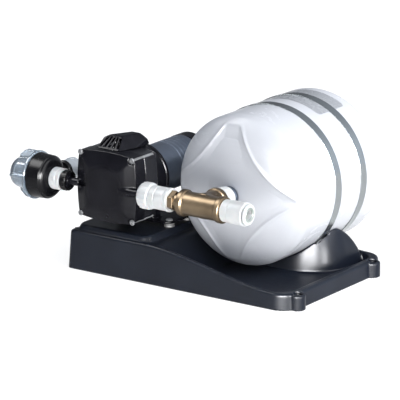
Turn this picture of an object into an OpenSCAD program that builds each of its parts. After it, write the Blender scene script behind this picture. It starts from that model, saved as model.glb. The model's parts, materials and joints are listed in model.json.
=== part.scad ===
// Caravan water set: diaphragm pump, strainer, accumulator tank and brass tee on one moulded tray.
// X runs along the tray from the strainer to the outlet, Y runs back, Z is up.
// The origin is the middle of the four tray screw holes, on the surface the tray stands on.

/* [Tray] */
// Length of the tray
tray_len = 349; // [340:1:365]
// Depth of the tray, front to back
tray_dep = 230; // [226:1:245]
// Height of the deck under the pump
deck_z = 52; // [48:1:54]
// Height of the rim at the outlet end
rim_z = 22; // [19:1:25]
// Height of the floor under the tank
floor_z = 10; // [8:0.5:12]
// Thickness of the moulded skin
skin = 3.5; // [3:0.25:4.5]
// How far the walls lean in from foot to deck
draft = 3.4; // [1:0.2:5]
// Height of the raised plinth under the pump
plinth_h = 7; // [5:0.5:9]
// Radius of the screw lugs on the short sides
lug_r = 10.5; // [9:0.5:12]
// Radius of the screw holes in the lugs
lug_hole_r = 2.75; // [2:0.25:3.5]
// Distance between the front and the rear screw holes
lug_pitch = 176; // [165:1:182]

/* [Water line] */
// Height of the ports and of the tank axis
axis_z = 120; // [118:1:126]
// How far the line of fittings lies in front of the tray
line_out = 4; // [2:0.5:7]
// Radius of the water passages
bore_r = 3.5; // [3:0.25:4.5]
// Radius of the threaded stubs that carry the union nuts
stub_r = 9.5; // [9.25:0.25:10.5]
// Radius of the pipe sockets
pipe_r = 6.1; // [5:0.1:6.6]

/* [Tank] */
// Radius of the tank
tank_r = 100; // [94:1:103]
// Length of the tank between its domes
tank_body = 162; // [155:1:180]
// Depth of each dome
dome_d = 38; // [32:1:42]
// Thickness of the tank shell
shell_t = 3; // [2:0.25:4]

/* [Straps] */
// Width of the steel straps
strap_w = 14; // [11:1:16]
// Thickness of the steel straps
strap_t = 0.8; // [0.6:0.1:1]
// Distance from the tank's front dome to the front strap
strap_in = 62; // [56:1:66]
// Distance between the straps
strap_pitch = 60; // [52:1:62]

/* [Pump] */
// Distance from the tray's end to the pump axis
pump_in = 66.5; // [64:0.5:69]
// Half the width of the pump head
head_half = 47; // [45:0.5:49]
// How far the sides of the head bulge
head_bulge = 3.5; // [2:0.5:5]
// Half the distance between the cover screws
screw_half = 41; // [40:0.5:42]
// Depth of the front cover
cover_d = 22.5; // [21:0.5:26]
// Depth of the pump body behind the cover
body_d = 26.5; // [25:0.5:30]
// Length of the round drive housing
drive_d = 32.5; // [31:0.5:38]
// Radius of the drive housing
drive_r = 42; // [39:0.5:44]
// Length of the motor can
can_len = 88.5; // [86:0.5:100]
// Radius of the motor can
can_r = 32.7; // [31:0.1:35]
// Length of the motor end cap
cap_len = 24; // [22:0.5:30]
// Radius of the motor shaft
shaft_r = 4; // [3:0.25:4.5]
// Height of the pressure switch box
switch_h = 15; // [13:0.5:20]

/* [Fittings] */
// Length of the outlet union nut
out_nut_len = 17.5; // [16:0.5:20]
// Length of the white adaptor after the outlet nut
adaptor_len = 29.2; // [27:0.2:34]
// Length of the brass nipple
nipple_len = 15.5; // [13:0.5:18]
// Length of the brass tee
tee_len = 66; // [62:1:70]
// Radius of the brass tee
tee_r = 15.5; // [14.5:0.25:16.5]
// Length of the outlet connector
conn_len = 33; // [30:0.5:40]
// Length of the inlet union nut
in_nut_len = 9; // [8.5:0.5:10]
// Length of the white collar on the strainer
collar_len = 15.7; // [13:0.1:18]
// Length of the strainer body
strainer_len = 26; // [25.5:0.5:32]
// Radius of the strainer body at its open end
strainer_r = 30; // [29:0.25:31]
// Length of the clear strainer cap beyond its flange
cap_cone_len = 39; // [36:0.5:44]

/* [Clearances] */
// Gap round anything that turns or slides by hand
free_gap = 0.3; // [0.2:0.05:0.4]
// Radial clearance of the shaft in its bearings
run_gap = 0.05; // [0.02:0.01:0.1]
// Gap between fixed round pieces that are pushed together
seat_gap = 0.1; // [0.05:0.05:0.2]

/* [Hidden] */
$fn = 96;
eps = 0.01;

// Colours as the photograph shows them
black_plastic = [0.07, 0.075, 0.085];
grey_steel = [0.45, 0.48, 0.52];
bright_steel = [0.72, 0.74, 0.75];
white_plastic = [0.9, 0.91, 0.91];
tank_white = [0.93, 0.93, 0.94];
brass_colour = [0.66, 0.55, 0.38];
clear_grey = [0.66, 0.71, 0.76, 0.55];
dark_rubber = [0.06, 0.06, 0.065];
copper_colour = [0.72, 0.42, 0.22];

// Tray layout
lug_in = 2.5;
lug_x = tray_len / 2 - lug_in;
lug_front = 22;
lug_h = rim_z - 2;
lug_sink_r = 2 * lug_hole_r;
lug_sink_d = 3;
tray_front = -lug_pitch / 2 - lug_front;
tray_back = tray_front + tray_dep;
tray_left = -tray_len / 2;
tray_right = tray_len / 2;
corner_left = 8;
corner_right = 27;
lip_t = 5.5;
lip_end = 13;
floor_run = 54;
plinth_corner = 14;
plinth_in = 8;

// Line of fittings and pump places
line_y = tray_front - line_out;
pump_x = tray_left + pump_in;
port_fore = 2.5;
pump_y = line_y + port_fore;
s_body = cover_d;
s_drive = s_body + body_d;
s_can = s_drive + drive_d;
s_cap = s_can + can_len;
s_end = s_cap + cap_len;
top_z = axis_z + head_half;

// Pump head
bulge_r = (pow(head_half - head_bulge, 2) + pow(head_bulge, 2)) / (2 * head_bulge);
ear_r = 5;
corner_r = screw_half * sqrt(2) + ear_r;
cover_wall = 4;
chamber_r = 34;
ring_r = 16;
ring_t = 3;
plate_s = 13;
plate_t = 5.5;
dia_t = 2;
cav_r = chamber_r - 4;
screw_r = 2;
screw_head_r = 4;
screw_head_h = 3;
dome_h = 8;
dome_half = screw_half * sqrt(2) - screw_head_r - 2;
dome_r = (pow(dome_half, 2) + pow(dome_h, 2)) / (2 * dome_h);
dome_in = 1.5;
port_wall = 1.6;
thread_in = 1;
inlet_off = 26;
valve_ring = 24;
valve_r = 5.5;
valve_t = 1.2;
valve_n = 3;
pocket_r = 5.6;
pocket_s = 15.5;
pocket_d = 9.2;
passage_s = 8.5;
passage_r = 1.2;

// Wobble drive
wob_s = s_body + 1.9;
wob_t = 5.6;
wob_r = 25;
pad_r = 6.5;
pad_ring = 13.5;
pad_h = 1.1;
brg_r = 13;
brg_t = 8;
brg_bore = 7.6;
journal_r = 6.4;
wob_tilt = 1.8;
cam_flange_r = 12;
cam_flange_t = 3;
weight_r = 20;
weight_t = 4.5;
cam_s = wob_s + wob_t + 1.5;
web_s = s_can - 13.5;
fbrg_r = 11;
fbrg_t = 7;
fbrg_s = web_s + 2;

// Motor
can_t = 1.8;
can_in = can_r - can_t;
mag_t = 4.7;
mag_len = 55;
mag_s = s_can + 14;
arm_r = can_in - mag_t - 1.2;
arm_len = 48;
arm_s = mag_s + (mag_len - arm_len) / 2;
slot_n = 10;
wind_r = arm_r - 4;
wind_t = 8;
com_r = 10;
com_len = 11;
com_gap = 1.5;
com_s = arm_s + arm_len + wind_t + com_gap;
brush_w = 6;
brush_l = 8;
brush_x = 12;
brush_gap = 0.25;
brush_s = com_s + 1.5;
bush_r = 8;
bush_t = 10;
bush_s = s_cap + 7;
gland_r = 5;
gland_off = 16;

// Pump foot
foot_gap = 5;
foot_t = 3;
foot_half = 56;
foot_s0 = s_drive + 12;
foot_s1 = s_can + 40;
foot_z = deck_z + plinth_h + foot_gap;
foot_hole_x = 49;
foot_hole_in = 10;
foot_screw_r = 2.4;
foot_screw_len = 22;
rubber_r = 7;
riser_half = 30;
riser_up = 6;

// Switch box
box_half = 20.5;
box_len = 56;
box_s = 9;
box_top_half = 11;
box_wall = 1.6;
box_base = 6;
box_z = top_z + seat_gap;
ramp_len = 23;
ramp_back = 10;
louvre_n = 5;
louvre_w = 2.6;
louvre_pitch = 4.3;
plunger_r = 2.4;
plunger_lift = 1.2;
pocket_z = top_z - pocket_d;
guide_z = top_z + 1.2;
guide_t = 1.2;
spring_turns = 4;
spring_wire = 0.45;
spring_r = 3.9;
flange_t = 1.4;

// Outlet chain, measured from the pump axis
out_x0 = pump_x + head_half + 11;
out_x1 = out_x0 + out_nut_len;
out_nut_r = 17.5;
adaptor_r = 15;
adaptor_x1 = out_x1 + free_gap + adaptor_len;
hex_r = 13.5;
hex_len = nipple_len / 2;
tee_x0 = adaptor_x1 + nipple_len;
tank_x = tee_x0 + tee_len / 2;
tee_x1 = tee_x0 + tee_len;
bead_r = tee_r + 2;
bead_w = 8;
conn_r = 15;
conn_x1 = tee_x1 + conn_len;
lip_w = 3.5;
thread_len = 11;
thread_play = 1;
tail_w = 3;
tail_r = stub_r - seat_gap;
neck_r = stub_r - 1;
socket_d = 24;
socket_in = 18;
collet_d = 9;
collet_r = pipe_r + 1.9;
collet_bore = pipe_r + 0.05;
collet_press = 1.5;
collet_out = collet_press + free_gap;
collet_head_r = 13.5;
collet_head_t = 2.4;

// Inlet chain, measured from the pump axis
in_x1 = pump_x - head_half - 9.5;
in_x0 = in_x1 - in_nut_len;
in_nut_r = 13;
collar_r = 14.5;
collar_x1 = in_x0 - free_gap;
collar_x0 = collar_x1 - collar_len;
body_x1 = collar_x0;
body_x0 = body_x1 - strainer_len;
dome_len = 5;
body_end_r = 27;
bowl_r = strainer_r - 6.7;
bowl_end = 8;
side_x = body_x0 + 15;
side_r = 11;
side_reach = strainer_r + 7;
ring_nut_r = 14;
ring_nut_len = 6.7;
inlet_r = 13;
inlet_len = 20;
inlet_y1 = line_y + side_reach + inlet_len;
flange_r = strainer_r + 2;
flange_w = 3;
cap_x1 = body_x0 - free_gap;
cap_x0 = cap_x1 - flange_w - cap_cone_len;
cone_r0 = 22;
cone_r1 = 17;
cap_wall = 2.5;
wing_r = flange_r;
wing_w = 7;
wing_back = 11;
rib_r = 20.5;
rib_w = 5;
spigot_len = 6;
screen_r = 15;
screen_t = 0.6;
screen_x1 = body_x1 - bowl_end - free_gap;
screen_x0 = cap_x0 + 17;
seal_r = 1;

// Tank layout
port_reach = 59.5;
tank_y0 = line_y + port_reach + dome_d;
tank_y1 = tank_y0 + tank_body;
apex_y = line_y + port_reach;
rear_y = tank_y1 + dome_d;
tank_nut_r = 15;
tank_nut_len = 18.7;
branch = tee_len / 2;
nut_y0 = line_y + branch + free_gap;
nut_y1 = nut_y0 + tank_nut_len;
port_y0 = nut_y0 + lip_w + free_gap + tail_w;
port_in = 6;
port_collar_r = 13;
valve_stem_r = 4;
valve_out = 13;
valve_flange_r = 9;
valve_flange_t = 2.3;
pin_r = 0.9;
pin_press = 1.2;
bag_r = tank_r - 28;
bag_t = 2.5;
label_t = 0.15;
label_a0 = 60;
label_a1 = 118;
label_in = 30;
label_len = 60;

// Cradle and straps
cradle_gap = 0.25;
saddle_back = tray_back - lip_t - draft - 2;
saddle_half = tank_r - 2;
saddle_top_half = tank_r - 9;
saddle_corner = 54;
saddle_corner_top = 42;
saddle_fore = 26.5;
saddle_top_fore = 15.5;
crest_drop = 54.5;
crest_z = axis_z - crest_drop;
crest_low = rim_z + 12;
strap_y = tank_y0 + strap_in;
strap_y2 = strap_y + strap_pitch;
strap_gap = 0.3;
strap_drop = skin + 2.2;
slot_gap = 0.8;
front_angle = 33;
rear_angle = 50;
buckle_angle = 150;
buckle_len = 22;
buckle_h = 8;
worm_r = 3.2;
worm_len = 30;
worm_head_r = 3.8;

// Plain shapes between two places
module rod_x(x0, x1, y, z, r) translate([x0, y, z]) rotate([0, 90, 0]) cylinder(r = r, h = x1 - x0);
module rod_y(x, y0, y1, z, r) translate([x, y0, z]) rotate([-90, 0, 0]) cylinder(r = r, h = y1 - y0);
module rod_z(x, y, z0, z1, r) translate([x, y, z0]) cylinder(r = r, h = z1 - z0);
module block(x0, x1, y0, y1, z0, z1) translate([x0, y0, z0]) cube([x1 - x0, y1 - y0, z1 - z0]);

// Rods on the line of fittings and on the pump axis, where s is the distance behind the cover
module on_line(x0, x1, r) rod_x(x0, x1, line_y, axis_z, r);
module on_pump(s0, s1, r) rod_y(pump_x, pump_y + s0, pump_y + s1, axis_z, r);
module ring_pump(s0, s1, ro, ri) {
    difference() {
        on_pump(s0, s1, ro);
        on_pump(s0 - 1, s1 + 1, ri);
    }
}
module ring_line(x0, x1, ro, ri) {
    difference() {
        on_line(x0, x1, ro);
        on_line(x0 - 1, x1 + 1, ri);
    }
}
module on_tank(y0, y1, r) rod_y(tank_x, y0, y1, axis_z, r);

// A profile of [radius, distance along Y] points turned round the tank axis
module spin_tank(points) {
    translate([tank_x, 0, axis_z]) rotate([-90, 0, 0]) rotate_extrude() polygon(points);
}
// A profile of [radius, distance along X] points turned round the line of fittings
module spin_line(points) {
    translate([0, line_y, axis_z]) rotate([0, 90, 0]) rotate_extrude() polygon(points);
}

// Smooth step from 0 to 1
function ease(t) = let (u = min(1, max(0, t))) u * u * (3 - 2 * u);
steps = 24;

// TRAY

// Plan of the tray, drawn in by some distance on every side
module tray_plan(inset) {
    x0 = tray_left + inset;
    x1 = tray_right - inset;
    y0 = tray_front + inset;
    y1 = tray_back - inset;
    rl = max(1, corner_left - inset);
    rr = max(1, corner_right - inset);
    for (c = [[x0 + rl, y0 + rl, rl], [x0 + rl, y1 - rl, rl], [x1 - rr, y0 + rr, rr], [x1 - rr, y1 - rr, rr]])
        translate([c[0], c[1]]) circle(r = c[2], $fn = 32);
    translate([x0 + rl, y0]) square([x1 - rr - x0 - rl, y1 - y0]);
    translate([x0, y0 + rl]) square([rl, y1 - y0 - 2 * rl]);
    translate([x1 - rr, y0 + rr]) square([rr, y1 - y0 - 2 * rr]);
}
// Leaning block on that plan, up to the deck
module tray_block(inset, z0, z1) {
    hull() {
        translate([0, 0, z0]) linear_extrude(eps) tray_plan(inset);
        translate([0, 0, z1 - eps]) linear_extrude(eps) tray_plan(inset + draft);
    }
}
// Everything under a height that changes along X
module under_x(points, x0, x1, z0) {
    translate([0, tray_back + 1, 0]) rotate([90, 0, 0]) linear_extrude(tray_dep + 2)
        polygon(concat([[x1, z0], [x0, z0]], points));
}
rim_x0 = tank_x - tank_r;
rim_run = tray_right - corner_right + 8 - rim_x0;
function rim_h(x) = deck_z - (deck_z - rim_z) * ease((x - rim_x0) / rim_run);
rim_points = [for (i = [0 : steps]) let (x = tray_left - 1 + i * (tray_len + 2) / steps) [x, rim_h(x)]];
floor_x0 = tank_x - tank_r + 12.5;
function floor_h(x) = deck_z - (deck_z - floor_z) * ease((x - floor_x0) / floor_run);
function floor_points(lower) = concat([[tray_left - 1, deck_z - lower]],
    [for (i = [0 : steps]) let (x = floor_x0 + i * floor_run / steps) [x, floor_h(x) - lower]],
    [[tray_right + 1, floor_z - lower]]);

// Open space of the tray above its floor
module tray_well() {
    difference() {
        block(tray_left + lip_t + draft, tray_right - lip_end, tray_front + lip_t + draft,
            tray_back - lip_t - draft, floor_z - 1, deck_z + 1);
        under_x(floor_points(0), tray_left - 1, tray_right + 1, -1);
    }
}
// Open space under the tray's skin
module tray_underside() {
    intersection() {
        tray_block(skin, -1, deck_z);
        under_x(floor_points(skin), tray_left - 1, tray_right + 1, -2);
    }
}
// Plan of the tank cradle
module saddle_plan(half, y0, y1, corner) {
    x0 = tank_x - half;
    x1 = tank_x + half;
    translate([x1 - corner, y0 + corner]) circle(r = corner, $fn = 48);
    translate([x0, y0]) square([2 * half - corner, y1 - y0]);
    translate([x1 - corner - 1, y0 + corner]) square([corner + 1, y1 - y0 - corner]);
}
// Cradle block: leaning sides and a crest that falls towards the back
module saddle_block(inset, z0) {
    crest = [for (i = [0 : steps]) let (y = strap_y + i * (tray_back - strap_y) / steps)
        [y, crest_z - inset - (crest_z - crest_low) * ease(i / steps)]];
    intersection() {
        hull() {
            translate([0, 0, z0]) linear_extrude(eps)
                saddle_plan(saddle_half - inset, strap_y - saddle_fore + inset, saddle_back - inset,
                    saddle_corner - inset);
            translate([0, 0, crest_z - inset - eps]) linear_extrude(eps)
                saddle_plan(saddle_top_half - inset, strap_y - saddle_top_fore + inset, saddle_back - inset,
                    saddle_corner_top - inset);
        }
        translate([tank_x - tank_r, 0, 0]) rotate([90, 0, 90]) linear_extrude(2 * tank_r)
            polygon(concat([[tray_back, z0], [tray_front, z0], [tray_front, crest_z - inset]], crest));
    }
}
module lugs() {
    for (sx = [-1, 1], sy = [-1, 1])
        rod_z(sx * lug_x, sy * lug_pitch / 2, 0, lug_h, lug_r);
}
// Columns that wall in the screw pockets of the tall end
module lug_pockets() {
    intersection() {
        tray_block(0, 0, deck_z);
        for (sy = [-1, 1]) rod_z(-lug_x, sy * lug_pitch / 2, 0, deck_z, lug_sink_r + skin);
    }
}
module lug_holes() {
    for (sx = [-1, 1], sy = [-1, 1]) {
        rod_z(sx * lug_x, sy * lug_pitch / 2, -1, deck_z + 1, lug_hole_r);
        rod_z(sx * lug_x, sy * lug_pitch / 2, lug_h - lug_sink_d, deck_z + 1, lug_sink_r);
    }
}
// Places of the four pump feet
module at_feet() {
    for (sx = [-1, 1], s = [foot_s0 + foot_hole_in, foot_s1 - foot_hole_in])
        translate([pump_x + sx * foot_hole_x, pump_y + s, 0]) children();
}
module plinth() {
    y0 = tray_front + plinth_in + plinth_corner;
    y1 = pump_y + foot_s1 + plinth_in - plinth_corner;
    hull()
        for (sx = [-1, 1], y = [y0, y1])
            translate([pump_x + sx * (foot_half + 3 - plinth_corner), y, deck_z - 1])
                cylinder(r1 = plinth_corner, r2 = plinth_corner - 3, h = plinth_h + 1, $fn = 32);
}
module base_tray() color(black_plastic) difference() {
    union() {
        difference() {
            intersection() {
                tray_block(0, 0, deck_z);
                under_x(rim_points, tray_left - 1, tray_right + 1, -1);
            }
            tray_well();
            tray_underside();
        }
        plinth();
        lug_pockets();
        lugs();
    }
    cradle_room();
    on_tank(tank_y0, tray_back + 1, tank_r + cradle_gap);
    strap_slot(strap_y2, rear_angle);
    lug_holes();
    at_feet() rod_z(0, 0, deck_z - 15, deck_z + plinth_h + 1, foot_screw_r);
}
// Hole in the tray that takes the cradle
module cradle_room() {
    saddle_block(-seat_gap, floor_z - skin);
    translate([0, 0, floor_z - skin - 2]) linear_extrude(2 + eps)
        saddle_plan(saddle_half + seat_gap, strap_y - saddle_fore - seat_gap, saddle_back + seat_gap,
            saddle_corner + seat_gap);
}
module tank_cradle() color(black_plastic) difference() {
    saddle_block(0, floor_z - skin);
    difference() {
        saddle_block(skin, -1);
        on_tank(tray_front, tray_back + 1, tank_r + cradle_gap + skin);
    }
    on_tank(tray_front, tray_back + 1, tank_r + cradle_gap);
    strap_slot(strap_y, front_angle);
    strap_slot(strap_y2, rear_angle);
}
module strap_slot(y0, angle)
    strap_loop(y0, strap_w + 2 * slot_gap, strap_t + 2 * slot_gap, strap_gap - slot_gap, angle);

// PUMP FOOT

module rubber_feet() color(dark_rubber) at_feet() difference() {
    union() {
        rod_z(0, 0, deck_z + plinth_h, foot_z, rubber_r);
        rod_z(0, 0, foot_z - 1, foot_z + foot_t, foot_screw_r + 2);
    }
    rod_z(0, 0, deck_z, foot_z + foot_t + 1, foot_screw_r + seat_gap);
}
module foot_screws() color(bright_steel) at_feet() {
    rod_z(0, 0, foot_z + foot_t + foot_screw_r - foot_screw_len, foot_z + foot_t, foot_screw_r);
    difference() {
        rod_z(0, 0, foot_z + foot_t, foot_z + foot_t + 2.8, 4.6);
        translate([-4, -0.6, foot_z + foot_t + 1.6]) cube([8, 1.2, 2]);
        translate([-0.6, -4, foot_z + foot_t + 1.6]) cube([1.2, 8, 2]);
    }
}
module pump_foot_plate() color(black_plastic) difference() {
    union() {
        block(pump_x - foot_half, pump_x + foot_half, pump_y + foot_s0, pump_y + foot_s1,
            foot_z, foot_z + foot_t);
        block(pump_x - riser_half, pump_x + riser_half, pump_y + foot_s0 + 1, pump_y + s_can - 2, foot_z + 1,
            axis_z - drive_r + riser_up);
    }
    on_pump(s_drive - 1, s_can, drive_r + seat_gap);
    at_feet() rod_z(0, 0, foot_z - 1, foot_z + foot_t + 1, foot_screw_r + 2 + seat_gap);
}

// PUMP HEAD

module head_outline(inset) {
    intersection() {
        for_sides(inset);
        circle(r = corner_r - inset);
    }
}
module for_sides(inset) {
    intersection_for (a = [0 : 90 : 270])
        rotate(a) translate([head_half - bulge_r, 0]) circle(r = bulge_r - inset, $fn = 180);
}
module head_slab(s0, s1, inset) {
    translate([pump_x, pump_y + s1, axis_z]) rotate([90, 0, 0]) linear_extrude(s1 - s0) head_outline(inset);
}
module at_cover_screws() {
    for (sx = [-1, 1], sz = [-1, 1])
        translate([sx * screw_half, 0, sz * screw_half]) children();
}
module at_valves(ring, n) {
    for (i = [0 : n - 1])
        translate([ring * sin(i * 360 / n), 0, ring * cos(i * 360 / n)]) children();
}
stub_left = in_x0 + lip_w + free_gap + tail_w;
stub_right = out_x1 - lip_w - free_gap - tail_w;
module pump_cover() color(black_plastic) difference() {
    union() {
        head_slab(0, cover_d, 0);
        intersection() {
            head_slab(-dome_h, 1, dome_in);
            translate([pump_x, pump_y - dome_h + dome_r, axis_z]) sphere(r = dome_r);
        }
        on_line(stub_left, stub_right, bore_r + port_wall);
        on_line(out_x0 + thread_in, stub_right, stub_r);
        on_line(stub_left, in_x1 - thread_in, stub_r);
    }
    difference() {
        on_pump(cover_wall, cover_d + 1, chamber_r);
        ring_pump(0, plate_s, ring_r, ring_r - ring_t);
        block(pump_x - ring_t, pump_x + ring_t, pump_y, pump_y + plate_s,
            axis_z + ring_r - 1, axis_z + chamber_r + 1);
    }
    on_line(pump_x, stub_right + 1, bore_r);
    on_line(stub_left - 1, pump_x - inlet_off, bore_r);
    rod_y(pump_x, line_y, pump_y + cover_wall + 1, axis_z, bore_r);
    rod_y(pump_x - inlet_off, line_y, pump_y + cover_wall + 1, axis_z, bore_r);
    at_cover_screws() rod_y(pump_x, pump_y - screw_head_h, pump_y + cover_d + 1, axis_z, screw_r + seat_gap);
    rod_z(pump_x, pump_y + pocket_s, pocket_z, top_z + 1, pocket_r);
    rod_z(pump_x, pump_y + passage_s, axis_z + ring_r - ring_t - 1, pocket_z + passage_r, passage_r);
    rod_y(pump_x, pump_y + passage_s, pump_y + pocket_s, pocket_z, passage_r);
}
module cover_screws() color(bright_steel) at_cover_screws() difference() {
    union() {
        rod_y(pump_x, pump_y, pump_y + s_drive - 4, axis_z, screw_r);
        rod_y(pump_x, pump_y - screw_head_h, pump_y, axis_z, screw_head_r);
    }
    for (a = [0, 90])
        translate([pump_x, pump_y - screw_head_h, axis_z]) rotate([0, a, 0]) cube([5, 2.4, 1], center = true);
}
module valve_plate() color(white_plastic) difference() {
    union() {
        on_pump(plate_s, plate_s + plate_t, chamber_r - seat_gap);
        ring_pump(plate_s + plate_t - eps, cover_d - dia_t, chamber_r - seat_gap, cav_r);
    }
    on_pump(plate_s - 1, plate_s + plate_t + 1, 1.5 + seat_gap);
    at_valves(7, valve_n) on_pump(plate_s - 1, plate_s + plate_t + 1, 2);
    at_valves(valve_ring, valve_n) {
        on_pump(plate_s - 1, plate_s + plate_t + 1, 1.2 + seat_gap);
        at_valves(3.6, 4) on_pump(plate_s - 1, plate_s + plate_t + 1, 1.4);
    }
}
module inlet_valves() color(dark_rubber) at_valves(valve_ring, valve_n) {
    on_pump(plate_s + plate_t, plate_s + plate_t + valve_t, valve_r);
    on_pump(plate_s + 1, plate_s + plate_t + eps, 1.2);
}
module outlet_valve() color(dark_rubber) {
    on_pump(plate_s - valve_t, plate_s, ring_r - ring_t - 2);
    on_pump(plate_s - eps, plate_s + plate_t - 1, 1.5);
}
module pump_diaphragm() color(dark_rubber) on_pump(cover_d - dia_t, cover_d, chamber_r - seat_gap);
module pump_body() color(black_plastic) difference() {
    head_slab(s_body, s_drive, 0);
    on_pump(s_body - 1, s_drive + 1, cav_r);
    at_cover_screws()
        rod_y(pump_x, pump_y + s_body - 1, pump_y + s_drive - 3, axis_z, screw_r + seat_gap / 2);
}

// WOBBLE DRIVE

module wobble_plate() color(white_plastic) {
    on_pump(wob_s, wob_s + wob_t, wob_r);
    at_valves(pad_ring, valve_n) on_pump(wob_s - pad_h, wob_s + eps, pad_r);
    ring_pump(wob_s + wob_t - eps, wob_s + wob_t + brg_t - 1, brg_r + 3.5, brg_r + seat_gap);
}
module cam_bearing() color(bright_steel)
    ring_pump(wob_s + wob_t, wob_s + wob_t + brg_t, brg_r, brg_bore);
flange_s = cam_s + brg_t + 1;
module drive_cam() color(grey_steel) difference() {
    union() {
        translate([pump_x, pump_y + cam_s, axis_z]) rotate([-90 + wob_tilt, 0, 0])
            cylinder(r = journal_r, h = brg_t + 2);
        on_pump(flange_s, flange_s + cam_flange_t, cam_flange_r);
        difference() {
            on_pump(flange_s + cam_flange_t - eps, flange_s + cam_flange_t + weight_t, weight_r);
            block(pump_x - weight_r, pump_x + weight_r, pump_y, pump_y + s_can,
                axis_z + shaft_r + 4, axis_z + weight_r + 1);
        }
    }
    on_pump(cam_s - 2, s_can, shaft_r + eps);
}
module motor_shaft() color(bright_steel) on_pump(cam_s + 1, bush_s + bush_t + 2, shaft_r);
module drive_housing() color(black_plastic) difference() {
    union() {
        on_pump(s_drive, s_can, drive_r);
        on_pump(s_drive - 5, s_drive + eps, cav_r - seat_gap);
        on_pump(s_can - eps, s_can + 4.5, can_in - seat_gap);
        block(pump_x - 17, pump_x + 17, pump_y + s_drive, pump_y + box_s + box_len + 1,
            axis_z + drive_r - 6, top_z);
    }
    on_pump(s_drive - 6, web_s, 25);
    on_pump(s_drive + 4, web_s, drive_r - 6);
    on_pump(web_s - 1, s_can + 5, shaft_r + 1.2);
    on_pump(fbrg_s, s_can + 5, fbrg_r + seat_gap / 4);
    on_pump(fbrg_s + fbrg_t + 1, s_can + 5, can_in - 6);
}
module front_bearing() color(bright_steel)
    ring_pump(fbrg_s, fbrg_s + fbrg_t, fbrg_r, shaft_r + run_gap);

// MOTOR

module motor_can() color(grey_steel) ring_pump(s_can, s_cap, can_r, can_in);
module motor_magnets() color(dark_rubber) {
    for (a = [25, 205])
        translate([pump_x, pump_y + mag_s, axis_z]) rotate([-90, 0, 0]) rotate([0, 0, a])
            rotate_extrude(angle = 130) translate([can_in - mag_t, 0]) square([mag_t - seat_gap, mag_len]);
}
module armature_core() color(grey_steel) difference() {
    on_pump(arm_s, arm_s + arm_len, arm_r);
    on_pump(arm_s - 1, arm_s + arm_len + 1, shaft_r + eps);
    for (i = [0 : slot_n - 1])
        translate([pump_x, 0, axis_z]) rotate([0, i * 360 / slot_n, 0])
            translate([arm_r - 8, pump_y + arm_s - 1, -1.2]) cube([9, arm_len + 2, 2.4]);
}
module armature_windings() color(copper_colour) {
    ring_pump(arm_s - wind_t, arm_s, wind_r, shaft_r + 3);
    ring_pump(arm_s + arm_len, arm_s + arm_len + wind_t, wind_r, shaft_r + 3);
}
module commutator() color(copper_colour) ring_pump(com_s, com_s + com_len, com_r, shaft_r + eps);
module carbon_brushes() color(dark_rubber) {
    for (sx = [-1, 1])
        translate([pump_x + sx * (com_r + brush_gap + brush_x / 2), pump_y + brush_s + brush_l / 2, axis_z])
            cube([brush_x, brush_l, brush_w], center = true);
}
module rear_bush() color(brass_colour) ring_pump(bush_s, bush_s + bush_t, bush_r, shaft_r + run_gap);
gland_x = pump_x - gland_off;
gland_z = axis_z - gland_off;
// End cap with the arms that carry the brushes
module motor_end_cap() color(black_plastic) difference() {
    union() {
        on_pump(s_cap, s_end - 4, can_r + 0.5);
        on_pump(s_end - 4 - eps, s_end, can_r - 2);
        on_pump(s_cap - 4, s_cap + eps, can_in - seat_gap);
    }
    difference() {
        on_pump(s_cap - 5, s_end - 5, can_in - 3);
        on_pump(bush_s - 1, s_end - 4, bush_r + 4);
        for (sx = [-1, 1])
            translate([pump_x + sx * 21, pump_y + (brush_s + s_cap + 4) / 2 - 1, axis_z])
                cube([14, s_cap + 4 - brush_s + 2, brush_w + 6], center = true);
        block(pump_x - can_r, pump_x + can_r, pump_y + s_cap + 4, pump_y + s_end, axis_z - 3, axis_z + 3);
    }
    on_pump(bush_s, bush_s + bush_t, bush_r + seat_gap / 4);
    on_pump(s_cap - 5, bush_s + bush_t + 3, shaft_r + 1.2);
    for (sx = [-1, 1])
        translate([pump_x + sx * (com_r + brush_gap + brush_x / 2), pump_y + brush_s + brush_l / 2, axis_z])
            cube([brush_x + 2 * seat_gap, brush_l + 2 * seat_gap, brush_w + 2 * seat_gap], center = true);
    rod_y(gland_x, pump_y + s_end - 7, pump_y + s_end + 1, gland_z, gland_r + seat_gap);
}
module cable_gland() color(dark_rubber) difference() {
    union() {
        rod_y(gland_x, pump_y + s_end - 6.5, pump_y + s_end + 8, gland_z, gland_r);
        rod_y(gland_x, pump_y + s_end, pump_y + s_end + 2.5, gland_z, gland_r + 2.5);
    }
    rod_y(gland_x, pump_y + s_end - 8, pump_y + s_end + 9, gland_z, gland_r - 2);
}

// PRESSURE SWITCH

// Box shape: a ramp in front, sloping flanks and a flat crown
module box_shape(inset) {
    y0 = pump_y + box_s;
    hull() {
        block(pump_x - box_half + inset, pump_x + box_half - inset, y0 + inset, y0 + box_len - inset,
            box_z - inset, box_z + box_base - inset);
        block(pump_x - box_top_half + inset, pump_x + box_top_half - inset, y0 + ramp_len + inset / 2,
            y0 + box_len - ramp_back - inset, box_z + switch_h - inset - eps, box_z + switch_h - inset);
    }
}
module switch_box() color(black_plastic) difference() {
    union() {
        difference() {
            box_shape(0);
            box_shape(box_wall);
        }
        intersection() {
            block(pump_x - box_half, pump_x + box_half, pump_y + box_s, pump_y + pocket_s + 7,
                guide_z, guide_z + guide_t);
            box_shape(0);
        }
    }
    rod_z(pump_x, pump_y + pocket_s, box_z, guide_z + guide_t + 1, plunger_r + free_gap);
    for (i = [0 : louvre_n - 1])
        block(pump_x + (i - (louvre_n - 1) / 2) * louvre_pitch - louvre_w / 2,
            pump_x + (i - (louvre_n - 1) / 2) * louvre_pitch + louvre_w / 2,
            pump_y + box_s + 3, pump_y + box_s + ramp_len - 3, box_z + guide_t + 3.5, box_z + switch_h + 1);
}
plunger_top = guide_z + guide_t + 0.5;
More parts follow.
